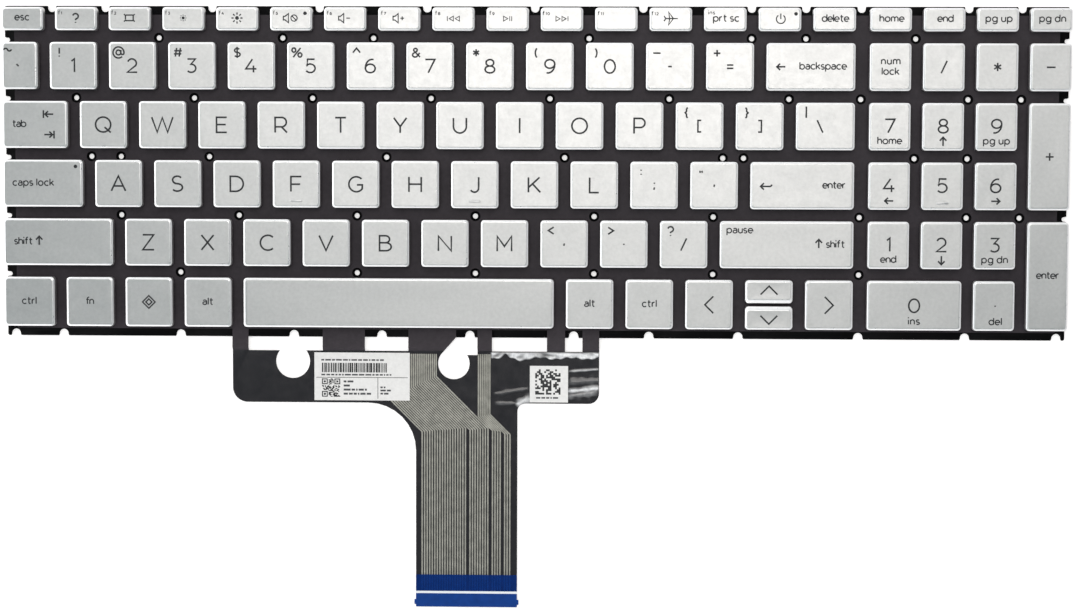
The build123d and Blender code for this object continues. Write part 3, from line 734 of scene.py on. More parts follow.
def symbol_legends():
    """What is printed on each key: entries of (text, style, x, y) or (text, style, x, y, width)"""
    table = {letter: [(letter.upper(), "letter", 0, 0)] for letter in "abcdefghijklmnopqrstuvwxyz"}
    for digit, sign in zip("1234567890", "!@#$%^&*()"):
        table["digit_" + digit] = [(digit, "digit", 0, 0), (sign, "shift", -4.3, 4.15)]
    for name, main, sign in (
        ("minus", "-", "_"), ("equals", "=", "+"), ("left_bracket", "[", "{"), ("right_bracket", "]", "}"),
        ("semicolon", ";", ":"), ("quote", "'", "\""), ("comma", ",", "<"), ("period", ".", ">"),
        ("slash", "/", "?"),
    ):
        table[name] = [(main, "sign", 0, 0), (sign, "shift", -4.1, 4.15)]
    table["tilde"] = [("`", "sign", -0.6, 0), ("~", "sign", -3.7, 4.9)]
    table["backslash"] = [("\\", "sign", -1.7, 0), ("|", "shift", -6.0, 4.4)]
    table["backspace"] = [("left", "shift", -9.3, 0), ("backspace", "word", 3.75, 0, 14.8)]
    table["tab"] = [
        ("tab", "word", -4.9, 0, 4.5), ("tab_back", "shift", 4.3, 3.2), ("tab_on", "shift", 4.5, -3.2),
    ]
    table["caps_lock"] = [("caps lock", "word", -3.0, 0, 13.0), ("dot", "lamp", 10.4, 5.3)]
    table["enter"] = [("return", "shift", -11.2, 0.2), ("enter", "word", 9.85, 0, 7.3)]
    table["left_shift"] = [("shift", "word", -11.0, 0, 5.9), ("up", "shift", -6.0, 0.4)]
    table["right_shift"] = [
        ("pause", "word", -14.6, 4.4, 8.4), ("up", "shift", 10.0, 0.4), ("shift", "word", 15.2, 0, 5.9),
    ]
    table["left_ctrl"] = table["right_ctrl"] = [("ctrl", "word", 0, 0, 4.7)]
    table["left_alt"] = table["right_alt"] = [("alt", "word", 0, 0, 3.5)]
    table["fn"] = [("fn", "word", 0, 0, 2.7)]
    table["system"] = [("diamond", "symbol", 0, 0)]
    table["left_arrow"] = [("open_left", "chevron", 0, 0)]
    table["right_arrow"] = [("open_right", "chevron", 0, 0)]
    table["up_arrow"] = [("open_up", "chevron", 0, 1.8)]
    table["down_arrow"] = [("open_down", "chevron", 0, 0.8)]
    table["num_lock"] = [("num", "word", 0, 1.6, 6.1), ("lock", "word", 0, -1.6, 5.6)]
    for name, sign in (("pad_divide", "/"), ("pad_multiply", "*"), ("pad_minus", "_"), ("pad_plus", "+")):
        table[name] = [(sign, "sign", 0, 0)]
    below = {"7": ("home", 7.8), "9": ("pg up", 8.2), "1": ("end", 5.1), "3": ("pg dn", 8.1)}
    for digit in "123456789":
        table["pad_" + digit] = [(digit, "digit", 0, 0.2)]
        if digit in below:
            table["pad_" + digit].append((below[digit][0], "word", 0, -4.6, below[digit][1]))
    for digit, arrow in zip("8462", ("up", "left", "right", "down")):
        table["pad_" + digit].append((arrow, "shift", 0, -4.6))
    table["pad_0"] = [("0", "digit", 0, 0), ("ins", "word", 0, -5.1, 3.8)]
    table["pad_point"] = [(".", "sign", 0.4, 0), ("del", "word", 0.5, -5.1, 4.2)]
    table["pad_enter"] = [("enter", "word", 0, 0.2, 7.2)]
    table["esc"] = [("esc", "word", 0, 0.2, 4.8)]
    for name, words, width in (
        ("delete", "delete", 8.6), ("home", "home", 7.8), ("end", "end", 5.1), ("page_up", "pg up", 8.2),
        ("page_down", "pg dn", 8.1), ("print_screen", "prt sc", 7.9),
    ):
        table[name] = [(words, "word", 0.2, 0.1, width)]
    table["print_screen"].append(("ins", "tiny", -4.3, 1.9))
    icons = {
        1: [("?", "shift", 0, 0.1)],
        2: [("screen", "bold_icon", 0, 0.2)],
        3: [("dim_sun", "icon", 0, 0.2), ("dot", "lamp", 0, 0.2, 0.95)],
        4: [("sun", "bold_icon", 0, 0.2), ("dot", "lamp", 0, 0.2, 1.2)],
        5: [("speaker", "broad", -1.6, 0.2), ("mute", "icon", 0.95, 0.2), ("dot", "lamp", 4.4, 1.7)],
        6: [("speaker", "broad", -1.2, 0.2), ("less", "icon", 1.0, 0.2)],
        7: [("speaker", "broad", -1.1, 0.2), ("more", "icon", 0.95, 0.2)],
        8: [("earlier", "media", 0, 0.1)],
        9: [("play", "media", 0, 0.1)],
        10: [("later", "media", 0, 0.1)],
        12: [("plane", "broad", 0, 0.2)],
    }
    for number in range(1, 13):
        table["f%d" % number] = [("f%d" % number, "tiny", -4.9, 1.65)] + icons.get(number, [])
    table["power"] = [("power", "broad", 0.2, 0.2), ("dot", "lamp", 4.9, 1.7)]
    return table


def legend_skin(key, table):
    """All the print on one key, laid on its dished top"""
    centre = np.array(middle_of(key))
    reach = np.array([(key.right - key.left) / 2, (key.rear - key.front) / 2])
    flat = []
    for entry in table.get(key.name, []):
        if entry[1] == "lamp":
            wide = entry[4] if len(entry) > 4 else STYLES["lamp"][1]
            plan = circle(centre[0] + entry[2] * MM, centre[1] + entry[3] * MM, wide / 2 * MM, LAMP_POINTS)
            flat.append((plan, [np.arange(LAMP_POINTS)[None]]))
            continue
        for points, weight in legend_strokes(*entry):
            plan, quads = ribbon(points * MM, weight * MM)
            flat.append((plan + centre, [quads]))
    return [
        (np.column_stack([plan, dished(plan, centre, reach, CAP_HIGH[2]) + sizes().ink_lift]), faces)
        for plan, faces in flat
    ]


class KEYBOARD_OT_legends(bpy.types.Operator):
    """Print the plain legends on the keycaps"""

    bl_idname = "keyboard.legends"
    bl_label = "Legends"

    def execute(self, context):
        ink = legend_ink()
        table = symbol_legends()
        for name, key in MOVING_KEYS.items():
            parts = legend_skin(key, table)
            if parts:
                make_piece(name + "_legend", *joined(parts), ink, name + "_key")
        for group, keys in FIXED_KEYS.items():
            parts = [part for key in keys for part in legend_skin(key, table)]
            make_piece(group.replace("keycaps", "legends"), *joined(parts), ink, "base")
        return {"FINISHED"}


# Plate and film

def key_rows():
    """Keys of each row, from left to right, by the row's name"""
    every = {**MOVING_KEYS, **{key.name: key for keys in FIXED_KEYS.values() for key in keys}}
    function, number, pad = (
        [key.name for key in FIXED_KEYS[group]]
        for group in ("function_keycaps", "number_row_keycaps", "number_pad_keycaps")
    )
    names = {
        "function": ["esc", *function[:14], "delete", *function[14:]],
        "number": [*number, "backspace", *pad[:4]],
        "tab": ["tab", *"qwertyuiop", "left_bracket", "right_bracket", "backslash",
                "pad_7", "pad_8", "pad_9"],
        "caps": ["caps_lock", *"asdfghjkl", "semicolon", "quote", "enter", "pad_4", "pad_5", "pad_6"],
        "shift": ["left_shift", *"zxcvbnm", "comma", "period", "slash", "right_shift",
                  "pad_1", "pad_2", "pad_3"],
        "front": ["left_ctrl", "fn", "system", "left_alt", "space", "right_alt", "right_ctrl", "left_arrow",
                  "up_arrow", "right_arrow", "pad_0", "pad_point"],
    }
    return {row: [every[name] for name in keys] for row, keys in names.items()}


ROWS = key_rows()


def gap_after(row, index):
    """X of the middle of the gap after a key of a row"""
    return (ROWS[row][index].right + ROWS[row][index + 1].left) / 2


def row_gap(behind, ahead, lead):
    """Y in the gap between two rows, moved forward by a lead"""
    return (ROWS[behind][0].front + ROWS[ahead][0].rear) / 2 - lead


# How far stakes lie ahead of a row gap's middle, in the outer and inner gaps, and the spacing of a pair
OUTER_LEAD, INNER_LEAD, STAKE_PAIR = 0.25 * MM, 0.65 * MM, 6.5 * MM


def stake_places():
    """Plan places of the stake holes in the gaps between keys"""
    function = row_gap("function", "number", OUTER_LEAD)
    tab = row_gap("number", "tab", INNER_LEAD)
    caps = row_gap("tab", "caps", INNER_LEAD)
    shift = row_gap("caps", "shift", INNER_LEAD)
    front = row_gap("shift", "front", OUTER_LEAD)
    plus = MOVING_KEYS["pad_plus"].left
    last = plus - (plus - ROWS["tab"][-1].right) / 2
    places = [(gap_after("shift", i), y) for i in (4, 10) for y in (shift, front)]
    places += [(gap_after("function", i), function) for i in (2, 6, 10, 13, 14, 16)]
    places += [(gap_after("number", 4), function)]
    places += [(gap_after("tab", i), tab) for i in (0, 2, 4, 6, 8, 10, 12, 13, 15)]
    places += [(last, tab), (last, shift)]
    places += [(gap_after("caps", i), caps) for i in (0, 2, 5, 8, 11, 13, 14)]
    places += [(gap_after("caps", 11) - STAKE_PAIR, caps)]
    places += [(gap_after("shift", 0), caps), (gap_after("shift", 0), shift)]
    places += [(gap_after("shift", i), shift) for i in (2, 6, 8, 11, 13)]
    places += [(gap_after("shift", i), front) for i in (1, 6, 8, 11)]
    return places


# Plan of the plate, film, flap and tail, in millimetres: u runs right from the key field's left edge, and v
# runs forward from the plate's front edge

FIELD_LEFT = node_box("caps_lock_keycap")[0][0]
PLATE_FRONT = PLATE_LOW[1]
FLAP_LEFT = 71.8
TABS = (5.1, 13.4, 15.1, 4.6, 5.7, 5.3)
WINDOWS = (23.6, 13.8, 6.8, 17.4, 5.5)
FLAP_RIGHT = FLAP_LEFT + sum(TABS) + sum(WINDOWS)
WINDOW_LEFTS = FLAP_LEFT + np.cumsum(TABS[:5]) + np.concatenate([[0], np.cumsum(WINDOWS[:4])])
WINDOW_DEPTH, NECK_DEPTH, NECK_SLANT = 4.4, 5.6, (4.4, 5.0)
CREASE, FLAP_DEPTH, FILM_INSET = 5.2, 20.9, 2.4
TAIL_LEFT, TAIL_WIDTH = FLAP_LEFT + 58.3, 32.2
TAIL_RIGHT = TAIL_LEFT + TAIL_WIDTH
TAIL_DEPTH = (PLATE_LOW[1] - FILM_LOW[1]) / MM
# Where the tabs stop rising and reach the floor, and the left and front ends of the flap's creased part
TAB_CREST, TAB_FOOT, FREE_LEFT, FREE_FRONT = 3.3, 4.3, 153.8, 21.6
# Middle and half size of the square label, which keeps the film under it flat
LABEL_MIDDLE, LABEL_HALF = (FLAP_RIGHT - 15.85, 14.7), (6.0, 5.8)
# Round ends of the keyholes: the window they belong to, how far right of its left edge they lie, v and radius
KEYHOLES = ((0, 14.1, 7.8, 5.4), (2, -0.7, 8.3, 5.0))

# Plate: its rim past the solid at the sides and the rear, its thickness, and the corners of plate and film
RIM_SIDE, RIM_REAR, PLATE_THICK, CORNER = 0.6 * MM, 0.35 * MM, 0.5 * MM, 0.6 * MM
# Notches in its edges: width, depth and flare, and how far outside the edge their cutters start
FRONT_NOTCH, REAR_NOTCH = (2.9 * MM, 2.1 * MM, 0.5 * MM), (2.6 * MM, 1.9 * MM, 0.3 * MM)
LEFT_NOTCH, RIGHT_NOTCH = (1.4 * MM, 1.6 * MM, 0.45 * MM), (1.4 * MM, 1.5 * MM, 0.45 * MM)
NOTCH_START = 1.0 * MM
# Places of the notches: inside both ends of the front edge, in four windows, and behind the rear of each row
END_NOTCH, WINDOW_NOTCHES, SIDE_NOTCH = 2.7 * MM, (14.5, 5.4, 4.4, 2.7), 0.8 * MM

# Hooks: the bars they hold lie behind, ahead of and beside a key's middle, and inside the wire's ends
HOOK_REAR, HOOK_FRONT, HOOK_SPREAD, WIRE_INSET = 4.8 * MM, 3.5 * MM, 2.2 * MM, 0.8 * MM
# Heights of the bars, and half their thickness
FRAME_BAR, WIRE_BAR, BAR_HALF = 1.2 * MM, 1.25 * MM, 0.4 * MM
# Near and far side of a hook's post and lip, from the bar's surface; its root, half its length, and its slot
HOOK_POST, HOOK_LIP, HOOK_ROOT = (0.2 * MM, 0.7 * MM), (0.12 * MM, 0.47 * MM), 0.4 * MM
HOOK_HALF, HOOK_SLOT = 0.5 * MM, (0.75 * MM, 0.5 * MM)


def on_flap(u, v):
    """Plan points in metres for places u, v"""
    u, v = np.broadcast_arrays(np.asarray(u, float), np.asarray(v, float))
    return np.stack([FIELD_LEFT + u * MM, PLATE_FRONT - v * MM], axis=-1)


def filleted(corners):
    """Loop through corners (x, y, radius); a radius turns a corner into an arc that touches both its sides"""
    points = []
    count = len(corners)
    for i, (x, y, radius) in enumerate(corners):
        here = np.array([x, y])
        if radius <= 0:
            points.append(here[None])
            continue
        back = np.array(corners[i - 1][:2]) - here
        ahead = np.array(corners[(i + 1) % count][:2]) - here
        back, ahead = back / np.linalg.norm(back), ahead / np.linalg.norm(ahead)
        half = math.acos(np.clip(back @ ahead, -1, 1)) / 2
        middle = here + (back + ahead) / np.linalg.norm(back + ahead) * radius / math.sin(half)
        start, end = (here + way * radius / math.tan(half) - middle for way in (back, ahead))
        turn = math.atan2(start[0] * end[1] - start[1] * end[0], start @ end)
        angle = math.atan2(start[1], start[0]) + np.linspace(0, turn, 9)
        points.append(middle + radius * np.stack([np.cos(angle), np.sin(angle)], axis=1))
    return np.concatenate(points)


def edge_notch(x, y, inward, width, depth, flare):
    """Cutter for a notch in an edge: a slot with a round end and a flared mouth; inward is into the sheet"""
    r = width / 2
    turn = np.linspace(0, math.pi, 13)[1:-1]
    lip = np.array([-r - flare, -r - flare * 0.3, -r])
    rise = np.array([-NOTCH_START, flare * 0.3, flare])
    across = np.concatenate([lip, -r * np.cos(turn), -lip[::-1]])
    along = np.concatenate([rise, depth - r + r * np.sin(turn), rise[::-1]])
    into = np.array(inward, float)
    sideways = np.array([into[1], -into[0]])
    return np.array([x, y]) + across[:, None] * sideways + along[:, None] * into


def hook_places():
    """Plate hooks under F, J and the space bar: x, y and height of the held bar, and the side of the post"""
    places = []
    for name in ("f", "j"):
        x, y = middle_of(MOVING_KEYS[name])
        places.append((x, y + HOOK_REAR, FRAME_BAR, 1))
        places += [(x + dx, y - HOOK_FRONT, FRAME_BAR, 1) for dx in (-HOOK_SPREAD, HOOK_SPREAD)]
    low, high = node_box("space_wire")
    ends = low[0] + WIRE_INSET, high[0] - WIRE_INSET
    return places + [(x, low[1] + BAR_HALF, WIRE_BAR, -1) for x in ends]


def hook_skin(x, y, z, side):
    """Hook bent up from the plate: a post beside the bar and a lip over it, carried along X"""
    near, far = (y + side * (BAR_HALF + gap) for gap in HOOK_POST)
    lip, top = (z + BAR_HALF + gap for gap in HOOK_LIP)
    root = PLATE_LOW[2] + HOOK_ROOT
    outline = [(far, root), (far, top), (y, top), (y, lip), (near, lip), (near, root)][::side]
    return shell([[(x + dx, py, pz) for py, pz in outline] for dx in (HOOK_HALF, -HOOK_HALF)])


def plate_skin():
    """Plate with round stake holes and flared notches in its edges"""
    left, right = PLATE_LOW[0] - RIM_SIDE, PLATE_HIGH[0] + RIM_SIDE
    front, rear = PLATE_LOW[1], PLATE_HIGH[1] + RIM_REAR
    corners = ((left, front), (right, front), (right, rear), (left, rear))
    holes = [circle(x, y, sizes().hole, 20) for x, y in stake_places()]
    marks = [FIELD_LEFT + END_NOTCH, MOVING_KEYS["pad_plus"].right - END_NOTCH]
    marks += [middle_of(MOVING_KEYS["right_ctrl"])[0]] + [gap_after("front", i) for i in (0, 2, 7, 9, 10)]
    marks += [FIELD_LEFT + u * MM for u in WINDOW_LEFTS[[0, 1, 2, 4]] + WINDOW_NOTCHES]
    holes += [edge_notch(x, front, (0, 1), *FRONT_NOTCH) for x in marks]
    for row in ("number", "tab", "caps", "shift", "front"):
        y = ROWS[row][0].rear + SIDE_NOTCH
        holes += [edge_notch(left, y, (1, 0), *LEFT_NOTCH), edge_notch(right, y, (-1, 0), *RIGHT_NOTCH)]
    for i in (0, 1, 3, 5, 7, 9, 11, 13, 14, 15, 17, 18):
        holes.append(edge_notch(gap_after("function", i), rear, (0, -1), *REAR_NOTCH))
    outer = filleted([(x, y, CORNER) for x, y in corners])
    flat = cut_sheet(outer, holes, lambda x, y: np.full(np.shape(x), PLATE_LOW[2]), PLATE_THICK)
    return joined([flat] + [hook_skin(*place) for place in hook_places()])


class KEYBOARD_OT_plate(bpy.types.Operator):
    """Build the painted metal plate with its stake holes, notches and hooks"""

    bl_idname = "keyboard.plate"
    bl_label = "Plate"

    def execute(self, context):
        coat = finish_of(
            "plate_coat", colours().plate, 1500.0, 0.3, (0.45, 0.6), (3000.0, GRAIN, 0.4),
            Specular_IOR_Level=0.06,
        )
        make_piece("plate", *plate_skin(), coat, "base", ["base_plate"], "plate_paint")
        return {"FINISHED"}


def scattered(count, seed):
    """Even-handed spread of values from 0 to 1: the fraction of a large sine"""
    return np.modf(np.abs(np.sin(np.arange(1, count + 1) * 12.9898 + seed) * 43758.5453))[0]


# Folds pressed into the flap: both ends (u, v), half width, rise and how far the print has paled, which is
# partly stress-whitening and partly a painted highlight
FOLDS = (
    (177.6, 10.65, 189.5, 9.8, 0.22, 0.4, 0.65),
    (177.0, 14.3, 190.0, 13.4, 0.80, 0.6, 0.10),
    (177.0, 17.0, 190.5, 15.7, 0.55, 1.2, 0.95),
    (177.0, 18.6, 188.0, 17.4, 0.75, 0.8, 0.28),
    (154.5, 18.1, 166.5, 16.1, 0.40, 0.5, 0.07),
    (155.0, 20.95, 163.5, 20.9, 0.36, 0.5, 0.14),
    (161.6, 21.3, 167.5, 18.9, 0.75, 1.2, 0.90),
)


def rumple(u, v, seed):
    """Uneven relief between about -1 and 1: waves of random direction, length and start, added up"""
    way, long, start = (scattered(14, seed + i) for i in range(3))
    total = 0
    for turn, stretch, begin in zip(way * math.pi, 0.7 + 3.2 * long, start * 2 * math.pi):
        total = total + np.sin((u * math.cos(turn) * 0.6 + v * math.sin(turn)) * stretch + begin)
    return total / 3.6


def beside(u, v, fold):
    """How near each place lies to a fold: a bell curve of its distance from the line between the fold's ends,
    which fades towards both ends"""
    start, end = np.array(fold[:2]), np.array(fold[2:4])
    way = end - start
    share = np.clip(((u - start[0]) * way[0] + (v - start[1]) * way[1]) / (way @ way), 0, 1)
    off = (u - start[0] - share * way[0]) ** 2 + (v - start[1] - share * way[1]) ** 2
    wander = 1 + 0.3 * rumple(u, v, 5.0)
    return np.exp(-off / (fold[4] * wander) ** 2) * np.clip(4 * share * (1 - share) * 1.6, 0, 1)


# Rear and front edge of the crumpled strip along the crease, and the seed of its relief
STRIP_REAR, STRIP_FRONT, STRIP_SEED = 4.65, 6.55, 2.0


def crumple(u, v):
    """Crumpled strip along the crease, 1 inside it: its rear edge is straight and its front edge wanders"""
    along = np.clip((u - FREE_LEFT) / 0.5, 0, 1)
    wander = 0.25 * np.sin(u * 0.62 + 0.6) + 0.2 * np.sin(u * 1.9)
    bulge = 0.5 * np.exp(-(((u - 163.5) / 2.6) ** 2))
    notch = 1.1 * np.exp(-(((u - 158.6) / 1.0) ** 2))
    reach = STRIP_FRONT + wander + bulge - notch
    return along * np.clip((v - STRIP_REAR) / 0.25, 0, 1) * np.clip((reach - v) / 0.3, 0, 1)


def on_sheet(x, y):
    """U and V of plan places in metres"""
    return (x - FIELD_LEFT) / MM, (PLATE_FRONT - y) / MM


def film_height(x, y):
    """Height of the film's underside: flat on the plate, a little up along the tabs and down to the floor,
    then flat there, apart from the crumpled crease and the folds"""
    u, v = on_sheet(x, y)
    base = np.interp(v, (0, TAB_CREST, TAB_FOOT), (0.5, 0.8, 0.0)) * MM
    free = np.clip((u - FREE_LEFT - 0.1) / 0.8, 0, 1) * np.clip((v - TAB_FOOT - 0.1) / 0.5, 0, 1)
    off = [
        np.maximum(np.abs(place - middle) - half, 0) ** 2
        for place, middle, half in zip((u, v), LABEL_MIDDLE, LABEL_HALF)
    ]
    label = np.exp(-(off[0] + off[1]) / 0.6)
    lift = crumple(u, v) * (0.7 + 0.6 * rumple(u, v, STRIP_SEED))
    lift = lift + sum(fold[5] * beside(u, v, fold) for fold in FOLDS)
    return base + sizes().wrinkle * free * np.clip(FREE_FRONT - v, 0, 1) * (1 - label) * lift


def paleness_and_highlight(x, y):
    """How far the print has paled, from 0 to 1: along the crumpled crease and the folds, each by its share.
    The paling is partly stress-whitened print and partly a painted highlight for the glints of the crumpled
    film.
    """
    u, v = on_sheet(x, y)
    pale = crumple(u, v) * np.clip(0.95 + 0.6 * rumple(u, v, STRIP_SEED), 0.15, 1)
    return np.clip(pale + sum(fold[6] * beside(u, v, fold) for fold in FOLDS), 0, 1)


def film_skin():
    """Bonded film: outline with the flap and tail, windows, keyholes and clearance round the stakes"""
    rear, front = FILM_HIGH[1], PLATE_FRONT + FILM_INSET * MM
    corners = [(FILM_LOW[0], rear, CORNER), (FILM_HIGH[0], rear, CORNER), (FILM_HIGH[0], front, CORNER)]
    for u, v, r in (
        (FLAP_RIGHT, -FILM_INSET, 0), (FLAP_RIGHT, FLAP_DEPTH, 3.3), (TAIL_RIGHT, FLAP_DEPTH, 2.5),
        (TAIL_RIGHT, TAIL_DEPTH, 0), (TAIL_LEFT, TAIL_DEPTH, 0), (TAIL_LEFT, FLAP_DEPTH, 15.2),
        (FLAP_LEFT, FLAP_DEPTH, 4.7), (FLAP_LEFT, -FILM_INSET, 0),
    ):
        corners.append((*on_flap(u, v), r * MM))
    corners.append((FILM_LOW[0], front, CORNER))
    holes = [circle(x, y, sizes().film_hole, 20) for x, y in stake_places()]
    depths = (WINDOW_DEPTH, WINDOW_DEPTH, NECK_DEPTH, WINDOW_DEPTH, WINDOW_DEPTH)
    for left, width, depth in zip(WINDOW_LEFTS, WINDOWS, depths):
        right = left + width
        holes.append(on_flap([left, right, right, left], [-FILM_INSET, -FILM_INSET, depth, depth]))
    neck = WINDOW_LEFTS[2]
    slant, fall = NECK_SLANT
    holes.append(on_flap([neck + 0.1, neck + 0.1, neck, neck - slant], [-0.1, NECK_DEPTH, fall + 2, fall]))
    for window, over, v, radius in KEYHOLES:
        holes.append(circle(*on_flap(WINDOW_LEFTS[window] + over, v), radius * MM, 40))
    for x, y, _, side in hook_places():
        post = y + side * (BAR_HALF + sum(HOOK_POST) / 2)
        holes.append((x, post) + np.array([(-1, -1), (1, -1), (1, 1), (-1, 1)]) * HOOK_SLOT)
    u, v = np.meshgrid(np.arange(FLAP_LEFT + 81, FLAP_RIGHT, 0.3), np.arange(TAB_FOOT, FLAP_DEPTH + 1, 0.22))
    across = np.linspace(FLAP_LEFT - 0.5, FLAP_RIGHT + 0.5, 60)
    lines = [on_flap(across, depth) for depth in (0.0, 1.1, 2.2, TAB_CREST, TAB_FOOT)]
    grid = on_flap(u.ravel(), v.ravel())
    return cut_sheet(filleted(corners), holes, film_height, sizes().film, grid, lines)


def flap_finish():
    """Glossy film of the flap and tail, paled along its creases by the piece's own attribute: partly
    stress-whitened print, partly a painted highlight for the glints of the crumpled film
    """
    material, shader, node, link = new_material("glossy_film")
    place = place_of(node)
    gloss = varied(node, link, shader, colours().flap, place, 500.0, 0.15, None)
    # Pale colour of the creases: partly stress-whitened print, partly a painted highlight
    whitened_and_highlight_colour = varied(node, link, shader, (0.80, 0.80, 0.83), place, 900.0, 0.25, None)
    pale = node("ShaderNodeAttribute", attribute_name="pale")
    mix = node("ShaderNodeMix", {"Factor": pale.outputs["Fac"]}, data_type="RGBA")
    link(gloss, mix.inputs[6])
    link(whitened_and_highlight_colour, mix.inputs[7])
    link(mix.outputs[2], shader.inputs["Base Color"])
    varied_value(node, link, shader, place, 250.0, 0.16, 0.24)
    bumped(node, link, shader, place, 1800.0, GRAIN, 0.2)
    shader.inputs["IOR"].default_value = 1.65
    return material


class KEYBOARD_OT_film(bpy.types.Operator):
    """Build the bonded film with its flap and tail"""

    bl_idname = "keyboard.film"
    bl_label = "Film"

    def execute(self, context):
        verts, faces = film_skin()
        matt = finish_of(
            "matt_film", colours().film, 700.0, 0.12, (0.37, 0.43), (1800.0, GRAIN, 0.3),
            Specular_IOR_Level=0.12,
        )
        film = make_piece("film", verts, faces, matt, "base", ["membrane"], "film", SKIN_SMOOTH)
        foot = PLATE_FRONT - TAB_FOOT * MM
        second_finish(film, flap_finish(), lambda middles, normals: middles[:, 1] < foot)
        # Paling along the creases, partly a painted highlight
        pale = film.data.attributes.new("pale", "FLOAT", "POINT")
        pale.data.foreach_set("value", paleness_and_highlight(verts[:, 0], verts[:, 1]).astype(np.float32))
        return {"FINISHED"}


# The white line across the stiffener: its way from the front edge and half its width
LINE_PLACE, LINE_HALF = 4.7 * MM, 0.36 * MM


def stiffener_finish():
    """Blue end of the tail: solid blue, a white line, and a see-through blue coat over the conductors"""
    material, shader, node, link = new_material("stiffener_finish")
    place = place_of(node)
    blue = varied(node, link, shader, colours().stiffener, place, 600.0, 0.12, None)
    y = node("ShaderNodeSeparateXYZ", {"Vector": place}).outputs["Y"]
    line = STIFF_LOW[1] + LINE_PLACE
    white = node("ShaderNodeMath", {0: y, 1: line, 2: LINE_HALF}, operation="COMPARE")
    mix = node("ShaderNodeMix", {"Factor": white.outputs[0]}, data_type="RGBA")
    link(blue, mix.inputs[6])
    mix.inputs[7].default_value = (0.85, 0.87, 0.9, 1)
    link(mix.outputs[2], shader.inputs["Base Color"])
    varied_value(node, link, shader, place, 400.0, 0.3, 0.4)
    shader.inputs["Specular IOR Level"].default_value = 0.25
    clear = node("ShaderNodeBsdfTransparent", {"Color": (0.40, 0.66, 0.99, 1)})
    coat = node("ShaderNodeMixShader", {"Fac": 0.4, 1: clear.outputs[0], 2: shader.outputs[0]})
    beyond = node("ShaderNodeMath", {0: y, 1: line + LINE_HALF}, operation="GREATER_THAN")
    out = node("ShaderNodeMixShader", {"Fac": beyond.outputs[0], 1: shader.outputs[0], 2: coat.outputs[0]})
    link(out.outputs[0], material.node_tree.nodes["Material Output"].inputs["Surface"])
    return material


def dressed(node_name, material):
    """Put a material on a CAD node that is kept"""
    mesh = bpy.data.objects[node_name].data
    mesh.materials.clear()
    mesh.materials.append(material)


# Conductors: how many, the first one of the second run, and the first ones of the tail's later groups
CONDUCTORS, SECOND_RUN, GROUP_FIRSTS = 33, 26, (18, 26, 30)
# First place and pitch along the tail, and the gap between its groups, in millimetres
TAIL_FIRST, TAIL_PITCH, TAIL_GAP = 132.05, 0.81, 0.66
# First place and pitch of both runs at the crease, and of u - v on the slope
CREASE_FIRSTS, CREASE_PITCHES = (121.5, 149.91), (0.6, 0.603)
SLOPE_FIRSTS, SLOPE_PITCHES = (101.98, 124.83), (0.883, 0.723)
# Widths of a conductor at its four points, and its height over the film
CONDUCTOR_WIDTHS, CONDUCTOR_LIFT = (0.40, 0.41, 0.43, 0.43), 0.05


def conductor_lines():
    """Middle lines of the conductors, each of four places: forward from the crease, across at 45 degrees and
    along the tail. On the slope they lie evenly side by side; the tail parts them into four groups."""
    i = np.arange(CONDUCTORS)
    group = np.searchsorted(GROUP_FIRSTS, i, side="right")
    tail = TAIL_FIRST + TAIL_PITCH * i + TAIL_GAP * group
    run = (i >= SECOND_RUN).astype(int)
    step = i - SECOND_RUN * run
    start = np.take(CREASE_FIRSTS, run) + np.take(CREASE_PITCHES, run) * step
    slope = np.take(SLOPE_FIRSTS, run) + np.take(SLOPE_PITCHES, run) * step
    ends = np.full(CONDUCTORS, CREASE + 0.1), np.full(CONDUCTORS, TAIL_DEPTH)
    u = np.stack([start, start, tail, tail], axis=1)
    v = np.stack([ends[0], start - slope, tail - slope, ends[1]], axis=1)
    return on_flap(u, v)


class KEYBOARD_OT_tail(bpy.types.Operator):
    """Print the conductors on the tail and finish its blue stiffener"""

    bl_idname = "keyboard.tail"
    bl_label = "Tail"

    def execute(self, context):
        ink = finish_of(
            "conductor_ink", colours().conductor, 400.0, 0.25, (0.35, 0.5), (2500.0, GRAIN, 0.3),
            Metallic=0.35,
        )
        height = sizes().film + CONDUCTOR_LIFT * MM
        parts = []
        for line in conductor_lines():
            plan, quads = ribbon(line, np.array(CONDUCTOR_WIDTHS) * MM)
            parts.append((np.column_stack([plan, np.full(len(plan), height)]), [quads]))
        make_piece("conductors", *joined(parts), ink, "base", ["tail_traces"], "conductor")
        dressed("tail_stiffener", stiffener_finish())
        return {"FINISHED"}


def flat_bars(rectangles, z):
    """Flat rectangles (left, right, front, rear) side by side at one height"""
    r = np.asarray(rectangles, float)
    corners = np.stack([r[:, [0, 2]], r[:, [1, 2]], r[:, [1, 3]], r[:, [0, 3]]], axis=1).reshape(-1, 2)
    return np.column_stack([corners, np.full(len(corners), z)]), [np.arange(len(corners)).reshape(-1, 4)]


def block_pattern(left, front, size, cells, seed, corners=False):
    """Square field of small squares, about half of them filled; three corners may hold a ringed square"""
    i, j = np.meshgrid(np.arange(cells), np.arange(cells))
    keep = (scattered(cells * cells, seed) > 0.48).reshape(cells, cells)
    for x, y in ((2.5, 2.5), (2.5, cells - 3.5), (cells - 3.5, cells - 3.5)) if corners else ():
        ring = np.maximum(np.abs(i - x), np.abs(j - y))
        keep = np.where(ring < 4, (ring < 1) | (np.abs(ring - 2.5) < 0.1), keep)
    step = size / cells
    x, y = left + i[keep] * step, front + j[keep] * step
    return np.stack([x, x + step, y, y + step], axis=1)


def word_bars(left, right, y, height, seed):
    """Row of short bars that stands for a line of small print"""
    ends = np.cumsum(0.7 + 1.6 * scattered(60, seed)) * MM
    start = np.concatenate([[0], ends[:-1] + 0.35 * MM])
    keep = left + ends < right
    x = left + start[keep]
    return np.stack([x, left + ends[keep], np.full(keep.sum(), y), np.full(keep.sum(), y + height)], axis=1)


